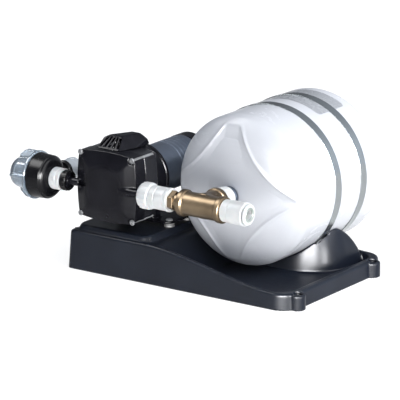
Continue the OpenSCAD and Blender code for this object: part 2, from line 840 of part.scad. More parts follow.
lever_z = plunger_top + plunger_lift + free_gap;
module micro_switch() color(dark_rubber) {
    block(pump_x - 3.2, pump_x + 3.2, pump_y + pocket_s + 9, pump_y + pocket_s + 27, box_z, box_z + 8.5);
    block(pump_x - 2, pump_x + 2, pump_y + pocket_s - 1, pump_y + pocket_s + 9.5, lever_z, lever_z + 0.4);
}
module switch_plunger() color(white_plastic) {
    rod_z(pump_x, pump_y + pocket_s, pocket_z + 1.5, plunger_top, plunger_r);
    rod_z(pump_x, pump_y + pocket_s, pocket_z + 1.5, pocket_z + 1.5 + flange_t, pocket_r - free_gap);
}
spring_z = pocket_z + 1.5 + flange_t + spring_wire;
module switch_spring() color(bright_steel) {
    translate([pump_x, pump_y + pocket_s, spring_z + 0.15])
        linear_extrude(guide_z - spring_z - 0.5, twist = -360 * spring_turns, slices = 16 * spring_turns,
            $fn = 8) translate([spring_r, 0]) circle(r = spring_wire);
}
module switch_diaphragm() color(dark_rubber)
    rod_z(pump_x, pump_y + pocket_s, pocket_z, pocket_z + 1.2, pocket_r - seat_gap);

// STRAINER

side_y = line_y + side_reach;
module strainer_body() color(black_plastic) difference() {
    union() {
        spin_line(concat([[0, body_x0], [strainer_r, body_x0], [strainer_r - 0.5, body_x0 + 3]],
            [[body_end_r + 1.6, body_x1 - dome_len - 1], [body_end_r, body_x1 - dome_len]],
            [for (a = [0 : 10 : 90]) [collar_r + 1 + (body_end_r - collar_r - 1) * cos(a),
                body_x1 - dome_len + dome_len * sin(a)]],
            [[0, body_x1]]));
        rod_y(side_x, line_y + bowl_r - 4, side_y, axis_z, side_r);
    }
    on_line(body_x0 - 1, body_x1 - bowl_end, bowl_r);
    on_line(body_x0, body_x1 + 1, collar_r - 5 + seat_gap);
    rod_y(side_x, line_y, side_y + 1, axis_z, bore_r + 2);
}
module strainer_screen() color(bright_steel) {
    ring_line(screen_x0, screen_x1, screen_r, screen_r - screen_t);
    on_line(screen_x0 - 1.5, screen_x0 + eps, screen_r);
    ring_line(screen_x1 - 2, screen_x1, screen_r + 1, screen_r - screen_t);
}
// Wall of the cap cone, some distance in from the outside
function cone_r(x) = cone_r1 + (cone_r0 - cone_r1) * (x - cap_x0) / cap_cone_len;
module strainer_cap() color(clear_grey) difference() {
    union() {
        spin_line([[0, cap_x0], [cone_r1 - 3, cap_x0], [cone_r1 - 1, cap_x0 + 0.8], [cone_r1, cap_x0 + 2.5],
            [cone_r0, cap_x1 - flange_w], [flange_r, cap_x1 - flange_w], [flange_r, cap_x1], [0, cap_x1]]);
        on_line(cap_x1 - eps, cap_x1 + spigot_len, bowl_r - free_gap);
        for (a = [0, 180])
            translate([0, line_y, axis_z]) rotate([a, 0, 0])
                translate([cap_x0 + wing_back, -wing_w / 2, cone_r1 - 2])
                    cube([cap_x1 - flange_w - cap_x0 - wing_back, wing_w, wing_r - cone_r1 + 2]);
        for (a = [0, 180])
            translate([0, line_y, axis_z]) rotate([a, 0, 0])
                translate([cap_x0 + 1, cone_r1 - 3, -rib_w / 2])
                    cube([cap_x1 - flange_w - cap_x0 - 1, rib_r - cone_r1 + 3, rib_w]);
    }
    spin_line([[0, screen_x0 - 1.5 - free_gap], [cone_r(screen_x0) - cap_wall, screen_x0 - 1.5 - free_gap],
        [bowl_r - 3.5, cap_x1], [bowl_r - 3.5, cap_x1 + spigot_len + 1], [0, cap_x1 + spigot_len + 1]]);
    ring_line(cap_x1 + 2, cap_x1 + 2 + 2 * seal_r + 0.6, bowl_r + 1, bowl_r - free_gap - 2 * seal_r - 0.1);
}
module strainer_seal() color(dark_rubber)
    translate([cap_x1 + 2.3 + seal_r, line_y, axis_z]) rotate([0, 90, 0])
        rotate_extrude() translate([bowl_r - free_gap - seal_r, 0]) circle(r = seal_r, $fn = 24);
module strainer_collar() color(white_plastic) difference() {
    union() {
        on_line(body_x1 - bowl_end + 2, collar_x0 + eps, collar_r - 5);
        on_line(collar_x0, collar_x1, collar_r);
        on_line(collar_x1 - eps, in_x0 + lip_w + free_gap, neck_r);
        on_line(in_x0 + lip_w + free_gap - eps, in_x0 + lip_w + free_gap + tail_w, tail_r);
    }
    on_line(body_x0, in_x1, bore_r + 1);
}
// Union nut: a threaded bore and a lip that holds the tail of its neighbour
module union_nut(x0, x1, r, lip_low) {
    difference() {
        on_line(x0, x1, r);
        on_line(x0 - 1, x1 + 1, neck_r + free_gap);
        on_line(lip_low ? x0 + lip_w : x0 - 1, lip_low ? x1 + 1 : x1 - lip_w, stub_r + free_gap);
    }
}
module nut_ribs(x0, x1, r, n, h) {
    for (i = [0 : n - 1])
        translate([0, line_y, axis_z]) rotate([i * 360 / n, 0, 0])
            translate([x0, -0.9, r - 1]) cube([x1 - x0, 1.8, 1 + h]);
}
module inlet_nut() color(black_plastic) {
    union_nut(in_x0, in_x1, in_nut_r, true);
    nut_ribs(in_x0 + 1.5, in_x1 - 1, in_nut_r, 16, 0.7);
}
module inlet_ring() color(black_plastic) difference() {
    rod_y(side_x, side_y - ring_nut_len, side_y, axis_z, ring_nut_r);
    rod_y(side_x, side_y - ring_nut_len - 1, side_y + 1, axis_z, side_r + seat_gap);
}
// Push-in pipe connector along Y for the inlet
module inlet_connector() color([0.75, 0.77, 0.79]) difference() {
    union() {
        rod_y(side_x, side_y, inlet_y1, axis_z, inlet_r);
        rod_y(side_x, inlet_y1 - 6, inlet_y1, axis_z, inlet_r + 0.8);
    }
    rod_y(side_x, side_y - 1, inlet_y1 + 1, axis_z, bore_r);
    rod_y(side_x, inlet_y1 - socket_in, inlet_y1 + 1, axis_z, pipe_r);
    rod_y(side_x, inlet_y1 - collet_d, inlet_y1 + 1, axis_z, collet_r + free_gap);
}
module inlet_collet() color([0.62, 0.65, 0.68]) difference() {
    union() {
        rod_y(side_x, inlet_y1 + collet_out - collet_d, inlet_y1 + collet_out + eps, axis_z, collet_r);
        rod_y(side_x, inlet_y1 + collet_out, inlet_y1 + collet_out + collet_head_t, axis_z, collet_head_r - 2);
    }
    rod_y(side_x, inlet_y1 - collet_d, inlet_y1 + 20, axis_z, collet_bore);
}

// OUTLET

module outlet_nut() color(white_plastic) {
    union_nut(out_x0, out_x1, out_nut_r - 0.6, false);
    nut_ribs(out_x0 + 3, out_x1 - 2, out_nut_r - 0.6, 20, 0.6);
}
module outlet_adaptor() color(white_plastic) difference() {
    union() {
        on_line(stub_right, out_x1 - lip_w - free_gap, tail_r);
        on_line(out_x1 - lip_w - free_gap - eps, out_x1 + free_gap + eps, neck_r);
        on_line(out_x1 + free_gap, adaptor_x1, adaptor_r);
        on_line(adaptor_x1 - 4.5, adaptor_x1, adaptor_r + 0.6);
    }
    ring_line(adaptor_x1 - 6, adaptor_x1 - 4.5, adaptor_r + 2, adaptor_r - 0.8);
    on_line(out_x0, adaptor_x1 + 1, bore_r + 1);
    on_line(adaptor_x1 - thread_len - thread_play, adaptor_x1 + 1, neck_r + seat_gap);
}
module hex_nipple() color(brass_colour) difference() {
    union() {
        on_line(adaptor_x1 - thread_len, adaptor_x1 + eps, neck_r);
        translate([adaptor_x1, line_y, axis_z]) rotate([0, 90, 0]) cylinder(r = hex_r, h = hex_len, $fn = 6);
        on_line(adaptor_x1 + hex_len - eps, tee_x0, hex_r - 3);
        on_line(tee_x0 - eps, tee_x0 + thread_len, neck_r);
    }
    on_line(adaptor_x1 - thread_len - 1, tee_x0 + thread_len + 1, bore_r + 1);
}
module brass_tee() color(brass_colour) difference() {
    union() {
        on_line(tee_x0, tee_x1, tee_r);
        on_line(tee_x0, tee_x0 + bead_w, bead_r);
        on_line(tee_x1 - bead_w, tee_x1, bead_r);
        on_tank(line_y, line_y + branch, tee_r);
        on_tank(line_y + branch - bead_w, line_y + branch, bead_r);
        on_tank(line_y + branch - eps, nut_y0 + lip_w + free_gap, neck_r);
        on_tank(nut_y0 + lip_w + free_gap - eps, port_y0, tail_r);
    }
    on_line(tee_x0 - 1, tee_x1 + 1, bore_r + 2);
    on_line(tee_x0 - 1, tee_x0 + thread_len + thread_play, neck_r + seat_gap);
    on_line(tee_x1 - thread_len - thread_play, tee_x1 + 1, neck_r + seat_gap);
    on_tank(line_y, port_y0 + 1, bore_r + 2);
}
module outlet_connector() color(white_plastic) difference() {
    union() {
        on_line(tee_x1 - thread_len, tee_x1 + eps, neck_r);
        on_line(tee_x1, conn_x1, conn_r);
        on_line(tee_x1, tee_x1 + 10, conn_r - 0.6);
        on_line(conn_x1 - 5, conn_x1, conn_r + 0.5);
    }
    ring_line(tee_x1 + 10, tee_x1 + 11.2, conn_r + 1, conn_r - 0.7);
    on_line(tee_x1 - thread_len - 1, conn_x1 + 1, bore_r);
    on_line(conn_x1 - socket_d, conn_x1 + 1, pipe_r);
    on_line(conn_x1 - collet_d, conn_x1 + 1, collet_r + free_gap);
}
module outlet_collet() color(white_plastic) difference() {
    union() {
        on_line(conn_x1 + collet_out - collet_d, conn_x1 + collet_out + eps, collet_r);
        on_line(conn_x1 + collet_out, conn_x1 + collet_out + collet_head_t, collet_head_r);
    }
    on_line(conn_x1 - collet_d, conn_x1 + 20, collet_bore);
}
module tank_nut() color(white_plastic) difference() {
    on_tank(nut_y0, nut_y1, tank_nut_r);
    on_tank(nut_y0 - 1, nut_y1 + 1, neck_r + free_gap);
    on_tank(nut_y0 + lip_w, nut_y1 + 1, stub_r + free_gap);
}

// TANK

function dome(r, d, y, dir) = [for (a = [0 : 6 : 90]) [r * cos(a), y + dir * d * sin(a)]];
function reversed(list) = [for (i = [len(list) - 1 : -1 : 0]) list[i]];
module tank_solid(inset) {
    spin_tank(concat(reversed(dome(tank_r - inset, dome_d - inset, tank_y0, -1)),
        dome(tank_r - inset, dome_d - inset, tank_y1, 1)));
}
module tank_shell() color(tank_white) difference() {
    tank_solid(0);
    tank_solid(shell_t);
    on_tank(apex_y - 1, tank_y0, stub_r + seat_gap);
    on_tank(tank_y1, rear_y + 1, valve_stem_r + seat_gap);
}
module tank_port() color(grey_steel) difference() {
    union() {
        on_tank(port_y0, apex_y + port_in, stub_r);
        on_tank(nut_y1 + 2.5, apex_y - seat_gap, port_collar_r);
    }
    on_tank(port_y0 - 1, apex_y + port_in + 1, bore_r + 2);
}
bag_y0 = apex_y + port_in + 12;
bag_y1 = tank_y1 - 25;
bag_mouth = apex_y + port_in - 2;
module tank_bladder() color([0.12, 0.12, 0.13]) difference() {
    spin_tank(concat([[0, bag_mouth], [stub_r + bag_t, bag_mouth], [stub_r + bag_t, bag_y0]],
        [for (a = [-80 : 10 : 0]) [bag_r * cos(a), bag_y0 + 40 + 40 * sin(a)]],
        [for (a = [0 : 10 : 90]) [bag_r * cos(a), bag_y1 - 40 + 40 * sin(a)]]));
    spin_tank(concat([[0, bag_y0 - 20], [stub_r + seat_gap, bag_y0 - 20], [stub_r + seat_gap, bag_y0 + bag_t]],
        [for (a = [-80 : 10 : 0]) [(bag_r - bag_t) * cos(a), bag_y0 + 40 + (40 - bag_t) * sin(a)]],
        [for (a = [0 : 10 : 90]) [(bag_r - bag_t) * cos(a), bag_y1 - 40 + (40 - bag_t) * sin(a)]]));
}
module tank_label() color([0.74, 0.75, 0.77])
    translate([tank_x, strap_y + label_in + label_len, axis_z]) rotate([90, 0, 0]) rotate([0, 0, label_a0])
        rotate_extrude(angle = label_a1 - label_a0)
            translate([tank_r + 0.02, 0]) square([label_t, label_len]);
module air_valve() color(brass_colour) difference() {
    union() {
        on_tank(rear_y - 8, rear_y + valve_out, valve_stem_r);
        on_tank(rear_y + seat_gap, rear_y + seat_gap + valve_flange_t, valve_flange_r);
    }
    on_tank(rear_y - 9, rear_y + valve_out + 1, pin_r + free_gap);
    on_tank(rear_y + valve_out - 6, rear_y + valve_out + 1, pin_r + 1.7);
}
module air_valve_pin() color(bright_steel) {
    on_tank(rear_y - 6, rear_y + valve_out - 1, pin_r);
    on_tank(rear_y + valve_out - 3.5, rear_y + valve_out - 2.5, pin_r + 1.4);
}
cap_y0 = rear_y + seat_gap + valve_flange_t + free_gap;
module air_valve_cap() color(black_plastic) difference() {
    union() {
        on_tank(cap_y0, rear_y + valve_out + 3, valve_stem_r + 2);
        for (i = [0 : 11])
            translate([tank_x, 0, axis_z]) rotate([0, i * 30, 0])
                translate([valve_stem_r + 1.5, cap_y0 + 1, -0.5]) cube([1, valve_out - 2, 1]);
    }
    on_tank(cap_y0 - 1, rear_y + valve_out + free_gap + 0.5, valve_stem_r + free_gap);
}

// STRAPS

// Closed steel band: round the tank, then down through the cradle and under its skin
band_steps = 72;
function band_path(r, low, angle) = concat(
    [for (i = [0 : band_steps]) let (a = i * (180 + 2 * angle) / band_steps - angle) [r * cos(a), r * sin(a)]],
    [for (i = [0 : band_steps])
        let (a = 180 + angle + i * (180 - 2 * angle) / band_steps, q = r - low * sin(angle))
            [q * cos(a), q * sin(a) - low]]);
module strap_loop(y, w, t, gap, angle) {
    r = tank_r + gap;
    low = strap_drop / (1 - sin(angle));
    translate([tank_x, y + w / 2, axis_z]) rotate([90, 0, 0]) difference() {
        linear_extrude(w) polygon(band_path(r + t, low, angle));
        translate([0, 0, -1]) linear_extrude(w + 2) polygon(band_path(r, low, angle));
    }
}
module strap_front() color(bright_steel) strap_loop(strap_y, strap_w, strap_t, strap_gap, front_angle);
module strap_rear() color(bright_steel) strap_loop(strap_y2, strap_w, strap_t, strap_gap, rear_angle);
buckle_r = tank_r + strap_gap + strap_t;
worm_at = buckle_r + buckle_h / 2;
// Frame of a buckle: first axis points away from the tank, second runs along the band
module at_buckle(y) translate([tank_x, y, axis_z]) rotate([0, -buckle_angle, 0]) children();
module strap_buckles() color(bright_steel)
    for (y = [strap_y, strap_y2]) at_buckle(y) difference() {
        translate([buckle_r, -strap_w / 2, -buckle_len / 2]) cube([buckle_h, strap_w, buckle_len]);
        translate([worm_at, 0, -buckle_len]) cylinder(r = worm_r + free_gap, h = 2 * buckle_len);
    }
module worm_screw(y) at_buckle(y) {
    translate([worm_at, 0, -worm_len / 2]) cylinder(r = worm_r, h = worm_len);
    translate([worm_at, 0, buckle_len / 2 + 0.4]) cylinder(r = worm_head_r, h = 4.6, $fn = 6);
}
module strap_screw_front() color(grey_steel) worm_screw(strap_y);
module strap_screw_rear() color(grey_steel) worm_screw(strap_y2);

base_tray();
tank_cradle();
rubber_feet();
foot_screws();
pump_foot_plate();
pump_cover();
cover_screws();
valve_plate();
inlet_valves();
outlet_valve();
pump_diaphragm();
pump_body();
wobble_plate();
cam_bearing();
drive_cam();
motor_shaft();
drive_housing();
front_bearing();
motor_can();
motor_magnets();
armature_core();
armature_windings();
commutator();
carbon_brushes();
rear_bush();
motor_end_cap();
cable_gland();
switch_box();
micro_switch();
switch_plunger();
switch_spring();
switch_diaphragm();
strainer_body();
strainer_screen();
strainer_cap();
strainer_seal();
strainer_collar();
inlet_nut();
inlet_ring();
inlet_connector();
inlet_collet();
outlet_nut();
outlet_adaptor();
hex_nipple();
brass_tee();
outlet_connector();
outlet_collet();
tank_nut();
tank_shell();
tank_port();
tank_bladder();
tank_label();
air_valve();
air_valve_pin();
air_valve_cap();
strap_front();
strap_rear();
strap_buckles();
strap_screw_front();
strap_screw_rear();
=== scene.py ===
"""Looks of a caravan water set: pump, strainer, tank, straps and fittings on one moulded tray."""
import json
import math

import bpy
import numpy as np
from mathutils import Matrix, Vector


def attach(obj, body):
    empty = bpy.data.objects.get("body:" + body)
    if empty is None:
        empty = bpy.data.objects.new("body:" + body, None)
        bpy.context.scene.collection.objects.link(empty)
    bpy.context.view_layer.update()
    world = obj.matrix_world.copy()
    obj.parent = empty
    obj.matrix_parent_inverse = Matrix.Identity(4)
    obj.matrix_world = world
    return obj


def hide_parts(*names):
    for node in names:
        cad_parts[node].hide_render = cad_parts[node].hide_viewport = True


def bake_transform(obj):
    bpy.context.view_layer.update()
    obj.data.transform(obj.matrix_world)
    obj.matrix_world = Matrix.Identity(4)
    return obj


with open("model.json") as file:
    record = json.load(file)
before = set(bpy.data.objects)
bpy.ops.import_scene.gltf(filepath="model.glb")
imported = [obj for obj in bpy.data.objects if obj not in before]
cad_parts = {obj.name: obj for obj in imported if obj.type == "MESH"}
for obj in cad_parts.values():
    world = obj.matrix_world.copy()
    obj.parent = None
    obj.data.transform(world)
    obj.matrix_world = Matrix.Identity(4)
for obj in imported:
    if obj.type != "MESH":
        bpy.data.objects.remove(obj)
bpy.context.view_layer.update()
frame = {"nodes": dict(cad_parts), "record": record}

MM = 0.001

# Sizes in millimetres, in the part's own frame. The line is the axis of the strainer, pump ports and tee.
AXIS_Z = 120.0
LINE_Y = -114.0
PUMP_X, PUMP_Y = -108.0, -111.5
TANK_X, TANK_R, TANK_Y0, TANK_Y1, DOME = 45.5, 100.0, -16.5, 145.5, 38.0
DECK, RIM, FLOOR, SKIN = 52.0, 22.0, 10.0, 3.5
TRAY_X, TRAY_FRONT, TRAY_BACK = 174.5, -110.0, 120.0
WALL_LEAN, WALL_CORNERS, WELL = 3.4, (8.0, 27.0), (-165.6, 161.5, -101.1, 111.1)
HUMP_LOW, HUMP_RISE, HUMP_HALF, HUMP_FRONT, HUMP_BACK = 6.5, 59.0, 98.0, 18.0, 114.8
PLINTH, PLINTH_TOP = (-167.0, -49.0, -102.0, 18.0), 59.0
HEAD, BULGE_R, CORNER_R, SCREW_AT = 47.0, 272.07, 62.98, 41.0
PILLOW, PILLOW_SLOPE, COVER_RING_R = 7.6, 0.40, 29.0
PORT_R, NECK_R, PORT_END_R = 3.5, 5.1, 9.5

# Places along the pump, counted from the front edge of its cover
PLUNGER_S, S_BODY, S_DRIVE, S_CAP, S_END = 15.5, 22.5, 49.0, 170.0, 194.0

STRAPS = {"front": (45.5, 33.0), "rear": (105.5, 50.0)}
STRAP_W, STRAP_T, STRAP_GAP, STRAP_DROP = 14.0, 0.8, 0.3, 5.7
LUGS = [(sx * 172.0, sy * 88.0) for sx in (-1, 1) for sy in (-1, 1)]
FEET = [(PUMP_X + sx * 49.0, PUMP_Y + s) for sx in (-1, 1) for s in (71.0, 111.5)]
SIDE_X = -200.5


# SHAPES

class Shape:
    """Points in millimetres with their normals, and faces of four or three corners."""

    def __init__(self, points, normals, quads, tris, quad_uv=None, tri_uv=None):
        self.points = np.asarray(points, float)
        self.normals = np.asarray(normals, float)
        self.quads = np.asarray(quads, int).reshape(-1, 4)
        self.tris = np.asarray(tris, int).reshape(-1, 3)
        self.quad_uv = np.zeros((len(self.quads), 4, 2)) if quad_uv is None else np.asarray(quad_uv, float)
        self.tri_uv = np.zeros((len(self.tris), 3, 2)) if tri_uv is None else np.asarray(tri_uv, float)
        p = self.points
        corners = [self.quads[:, (0, 1, 2)], self.quads[:, (0, 2, 3)], self.tris]
        volume = sum(np.einsum("ij,ij->", p[c[:, 0]], np.cross(p[c[:, 1]], p[c[:, 2]])) for c in corners)
        if volume < 0:
            self.quads, self.tris = self.quads[:, ::-1], self.tris[:, ::-1]
            self.quad_uv, self.tri_uv = self.quad_uv[:, ::-1], self.tri_uv[:, ::-1]


def joined(*shapes):
    """Several shapes as one."""
    first = np.cumsum([0] + [len(s.points) for s in shapes])
    return Shape(np.concatenate([s.points for s in shapes]), np.concatenate([s.normals for s in shapes]),
                 np.concatenate([s.quads + n for s, n in zip(shapes, first)]),
                 np.concatenate([s.tris + n for s, n in zip(shapes, first)]),
                 np.concatenate([s.quad_uv for s in shapes]), np.concatenate([s.tri_uv for s in shapes]))


def placed(shape, axes, at):
    """The shape with its own three axes laid along the given directions."""
    turn = np.array(axes, float)
    return Shape(shape.points @ turn + np.array(at, float), shape.normals @ turn, shape.quads, shape.tris,
                 shape.quad_uv, shape.tri_uv)


def filleted(points, radius, closed, steps=5):
    """A path through the points with rounded corners, and its outward normals."""
    points = np.array(points, float)
    count = len(points)
    radii = np.broadcast_to(np.asarray(radius, float), count)
    after = np.roll(points, -1, 0)
    side = np.sign(np.sum(points[:, 0] * after[:, 1] - after[:, 0] * points[:, 1]))
    path, out = [], []
    for i in range(count):
        here = points[i]
        if not closed and i in (0, count - 1):
            d = points[1] - points[0] if i == 0 else points[-1] - points[-2]
            d = d / np.linalg.norm(d)
            path.append(here)
            out.append(side * np.array([d[1], -d[0]]))
            continue
        d1, d2 = here - points[i - 1], points[(i + 1) % count] - here
        l1, l2 = np.linalg.norm(d1), np.linalg.norm(d2)
        d1, d2 = d1 / l1, d2 / l2
        turn = math.atan2(d1[0] * d2[1] - d1[1] * d2[0], d1 @ d2)
        if abs(turn) < 1e-3:
            path.append(here)
            out.append(side * np.array([d1[1], -d1[0]]))
            continue
        half = abs(math.tan(turn / 2))
        back = min(max(radii[i], 0.05) * half, 0.48 * l1, 0.48 * l2)
        r = back / half
        left = np.array([-d1[1], d1[0]])
        centre = here - d1 * back + math.copysign(r, turn) * left
        n = max(2, int(round(steps * abs(turn) / (math.pi / 2))))
        for k in range(n + 1):
            c, s = math.cos(turn * k / n), math.sin(turn * k / n)
            d = np.array([c * d1[0] - s * d1[1], s * d1[0] + c * d1[1]])
            path.append(centre + math.copysign(r, turn) * np.array([d[1], -d[0]]))
            out.append(side * np.array([d[1], -d[0]]))
    return np.array(path), np.array(out)


AXES = {"x": np.array([[0, 1, 0], [0, 0, 1], [1, 0, 0]], float),
        "y": np.array([[1, 0, 0], [0, 0, 1], [0, 1, 0]], float),
        "z": np.array([[1, 0, 0], [0, 1, 0], [0, 0, 1]], float)}


def corners_uv(*corners):
    return np.stack([np.column_stack(c) for c in corners], 1)


def turned(points, along, centre, radius=0.4, seg=96, closed=True):
    """A shape turned on a lathe, from (radius, place) points of its section."""
    path, out = filleted(points, radius, closed)
    m = len(path)
    length = np.concatenate([[0], np.cumsum(np.linalg.norm(np.diff(path, axis=0), axis=1))]) / 100
    widest = path[:, 0].max() / 100
    angle = 2 * np.pi * np.arange(seg) / seg
    ring = np.stack([np.cos(angle), np.sin(angle)], 1)
    pts, nrm, first = [], [], []
    total = 0
    for (r, s), (nr, ns) in zip(path, out):
        first.append((total, r < 1e-6))
        if r < 1e-6:
            pts.append([[0, 0, s]])
            nrm.append([[0, 0, math.copysign(1, ns)]])
            total += 1
        else:
            pts.append(np.column_stack([r * ring, np.full(seg, s)]))
            nrm.append(np.column_stack([nr * ring, np.full(seg, ns)]))
            total += seg
    quads, tris, quad_uv, tri_uv = [], [], [], []
    j = np.arange(seg)
    k = (j + 1) % seg
    u0, u1 = j / seg * 2 * np.pi * widest, (j + 1) / seg * 2 * np.pi * widest
    for i in range(m if closed else m - 1):
        (a, pole_a), (b, pole_b) = first[i], first[(i + 1) % m]
        v0 = np.full(seg, length[i])
        v1 = np.full(seg, length[i + 1] if i + 1 < m else length[i] + 0.01)
        if pole_a:
            tris.append(np.column_stack([np.full(seg, a), b + j, b + k]))
            tri_uv.append(corners_uv((u0, v0), (u0, v1), (u1, v1)))
        elif pole_b:
            tris.append(np.column_stack([a + j, a + k, np.full(seg, b)]))
            tri_uv.append(corners_uv((u0, v0), (u1, v0), (u0, v1)))
        else:
            quads.append(np.column_stack([a + j, a + k, b + k, b + j]))
            quad_uv.append(corners_uv((u0, v0), (u1, v0), (u1, v1), (u0, v1)))

    def stacked(parts, size):
        return np.concatenate(parts) if parts else np.zeros(size)

    shape = Shape(np.concatenate(pts), np.concatenate(nrm), stacked(quads, (0, 4)), stacked(tris, (0, 3)),
                  stacked(quad_uv, (0, 4, 2)), stacked(tri_uv, (0, 3, 2)))
    first, second = centre
    at = {"x": (0, first, second), "y": (first, 0, second), "z": (first, second, 0)}[along]
    return placed(shape, AXES[along], at)


def on_line(points, radius=0.4, seg=96, closed=True):
    """Turned on the line through strainer, pump ports and tee."""
    return turned(points, "x", (LINE_Y, AXIS_Z), radius, seg, closed)


def on_pump(points, radius=0.4, seg=128, closed=True):
    """Turned on the pump's axis, with places counted along the pump."""
    return turned([(r, s + PUMP_Y) for r, s in points], "y", (PUMP_X, AXIS_Z), radius, seg, closed)


def on_tank(points, radius=0.4, seg=96, closed=True):
    """Turned on the tank's axis."""
    return turned(points, "y", (TANK_X, AXIS_Z), radius, seg, closed)


def slab(outline, low, high, edge, along="z", corner=2.0):
    """A flat piece with rounded corners and rounded edges."""
    path, out = filleted(outline, corner, True)
    q = np.linspace(0, np.pi / 2, 5)
    inset = np.concatenate([edge * (1 - np.sin(q)), edge * (1 - np.cos(q))])
    level = np.concatenate([low + edge * (1 - np.cos(q)), high - edge * (1 - np.sin(q))])
    side = np.concatenate([np.sin(q), np.cos(q)])
    up = np.concatenate([-np.cos(q), np.sin(q)])
    n = len(path)
    pts = [np.column_stack([path - out * d, np.full(n, z)]) for d, z in zip(inset, level)]
    nrm = [np.column_stack([out * a, np.full(n, b)]) for a, b in zip(side, up)]
    middle = path.mean(0)
    pts += [[[*middle, low]], [[*middle, high]]]
    nrm += [[[0, 0, -1]], [[0, 0, 1]]]
    j = np.arange(n)
    k = (j + 1) % n
    last = len(inset) - 1
    quads = np.concatenate([np.column_stack([i * n + j, i * n + k, (i + 1) * n + k, (i + 1) * n + j])
                            for i in range(last)])
    tris = np.concatenate([np.column_stack([k, j, np.full(n, (last + 1) * n)]),
                           np.column_stack([last * n + j, last * n + k, np.full(n, (last + 1) * n + 1)])])
    return placed(Shape(np.concatenate(pts), np.concatenate(nrm), quads, tris), AXES[along], (0, 0, 0))


def box_outline(x0, x1, y0, y1):
    return [(x0, y0), (x1, y0), (x1, y1), (x0, y1)]


def hexagon(radius, centre=(0, 0), start=0.0):
    return [(radius * math.cos(a) + centre[0], radius * math.sin(a) + centre[1])
            for a in np.arange(6) * math.pi / 3 + start]


def soft_min(a, b, k):
    """The lower of two distances, rounded over k where they meet: two forms joined with a fillet."""
    h = np.clip(0.5 + 0.5 * (b - a) / k, 0, 1)
    return b * (1 - h) + a * h - k * h * (1 - h)


def soft_max(a, b, k):
    """The higher of two distances, rounded over k: what two forms share, with a rounded edge."""
    return -soft_min(-a, -b, k)


def ease(t):
    """A smooth step from 0 to 1."""
    t = np.clip(t, 0, 1)
    return t * t * (3 - 2 * t)


def steep(height, run, t):
    """Brings a rise over a run back to a true distance."""
    slope = height / run * 6 * np.clip(t, 0, 1) * (1 - np.clip(t, 0, 1))
    return 1 / np.sqrt(1 + slope * slope)


def rounded_plan(x, y, x0, x1, y0, y1, r_left, r_right, r_back=None):
    """Distance from a rectangle with a corner radius for its left, its right and, if given, its back."""
    px, py = x - (x0 + x1) / 2, y - (y0 + y1) / 2
    front = np.where(px < 0, r_left, r_right)
    r = front if r_back is None else np.where(py < 0, front, r_back)
    qx, qy = np.abs(px) - (x1 - x0) / 2 + r, np.abs(py) - (y1 - y0) / 2 + r
    return np.minimum(np.maximum(qx, qy), 0) + np.hypot(np.maximum(qx, 0), np.maximum(qy, 0)) - r


def moulded(field, low, high, step):
    """The closed skin of a moulding, given the distance from its surface."""
    step = step * 1.0
    axes = [np.arange(a, b + step, step) for a, b in zip(low, high)]
    n = [len(a) for a in axes]
    value = field(*np.meshgrid(*axes, indexing="ij"))
    inside = value < 0
    total = np.zeros([k - 1 for k in n] + [3])
    hits = np.zeros([k - 1 for k in n])
    edges = []
    for axis in range(3):
        b, c = [i for i in range(3) if i != axis]
        lower = [slice(None)] * 3
        upper = [slice(None)] * 3
        lower[axis], upper[axis] = slice(0, -1), slice(1, None)
        f0, f1 = value[tuple(lower)], value[tuple(upper)]
        cross = inside[tuple(lower)] != inside[tuple(upper)]
        share = np.where(cross, f0 / np.where(cross, f0 - f1, 1), 0)
        edges.append((axis, cross, inside[tuple(lower)]))
        for db in (0, 1):
            for dc in (0, 1):
                pick = [slice(None)] * 3
                pick[b] = slice(db, n[b] - 1 + db)
                pick[c] = slice(dc, n[c] - 1 + dc)
                hit = cross[tuple(pick)]
                hits += hit
                total[..., axis] += np.where(hit, share[tuple(pick)], 0)
                total[..., b] += hit * db
                total[..., c] += hit * dc
    mixed = hits > 0
    number = np.full(mixed.shape, -1)
    number[mixed] = np.arange(mixed.sum())
    points = (np.argwhere(mixed) + total[mixed] / hits[mixed][:, None]) * step + [a[0] for a in axes]
    quads = []
    for axis, cross, starts_inside in edges:
        b, c = [(1, 2), (2, 0), (0, 1)][axis]
        at = np.argwhere(cross)
        at = at[(at[:, b] > 0) & (at[:, c] > 0) & (at[:, b] < n[b] - 1) & (at[:, c] < n[c] - 1)]
        flip = ~starts_inside[tuple(at.T)]
        corner = []
        for db, dc in ((1, 1), (0, 1), (0, 0), (1, 0)):
            cell = at.copy()
            cell[:, b] -= db
            cell[:, c] -= dc
            corner.append(number[tuple(cell.T)])
        quad = np.column_stack(corner)
        quad[flip] = quad[flip][:, ::-1]
        quads.append(quad)

    def slope(p, d=0.05):
        x, y, z = p.T
        return np.column_stack([field(x + d, y, z) - field(x - d, y, z),
                                field(x, y + d, z) - field(x, y - d, z),
                                field(x, y, z + d) - field(x, y, z - d)]) / (2 * d)

    start = points.copy()
    for _ in range(3):
        g = slope(points)
        move = g * (field(*points.T) / np.maximum(np.einsum("ij,ij->i", g, g), 0.05))[:, None]
        points = points - np.clip(move, -step / 2, step / 2)
    points = start + np.clip(points - start, -step * 0.8, step * 0.8)
    g = slope(points, 0.15)
    return Shape(points, g / np.maximum(np.linalg.norm(g, axis=1), 1e-6)[:, None], np.concatenate(quads), [])


def mesh_of(name, shape):
    """The shape as a mesh in metres, with its own normals and UVs."""
    mesh = bpy.data.meshes.new(name)
    mesh.from_pydata((shape.points * MM).tolist(), [], shape.quads.tolist() + shape.tris.tolist())
    layer = mesh.uv_layers.new(name="UVMap")
    layer.data.foreach_set("uv", np.concatenate([shape.quad_uv.ravel(), shape.tri_uv.ravel()]))
    mesh.shade_smooth()
    mesh.normals_split_custom_set_from_vertices(shape.normals.tolist())
    return mesh


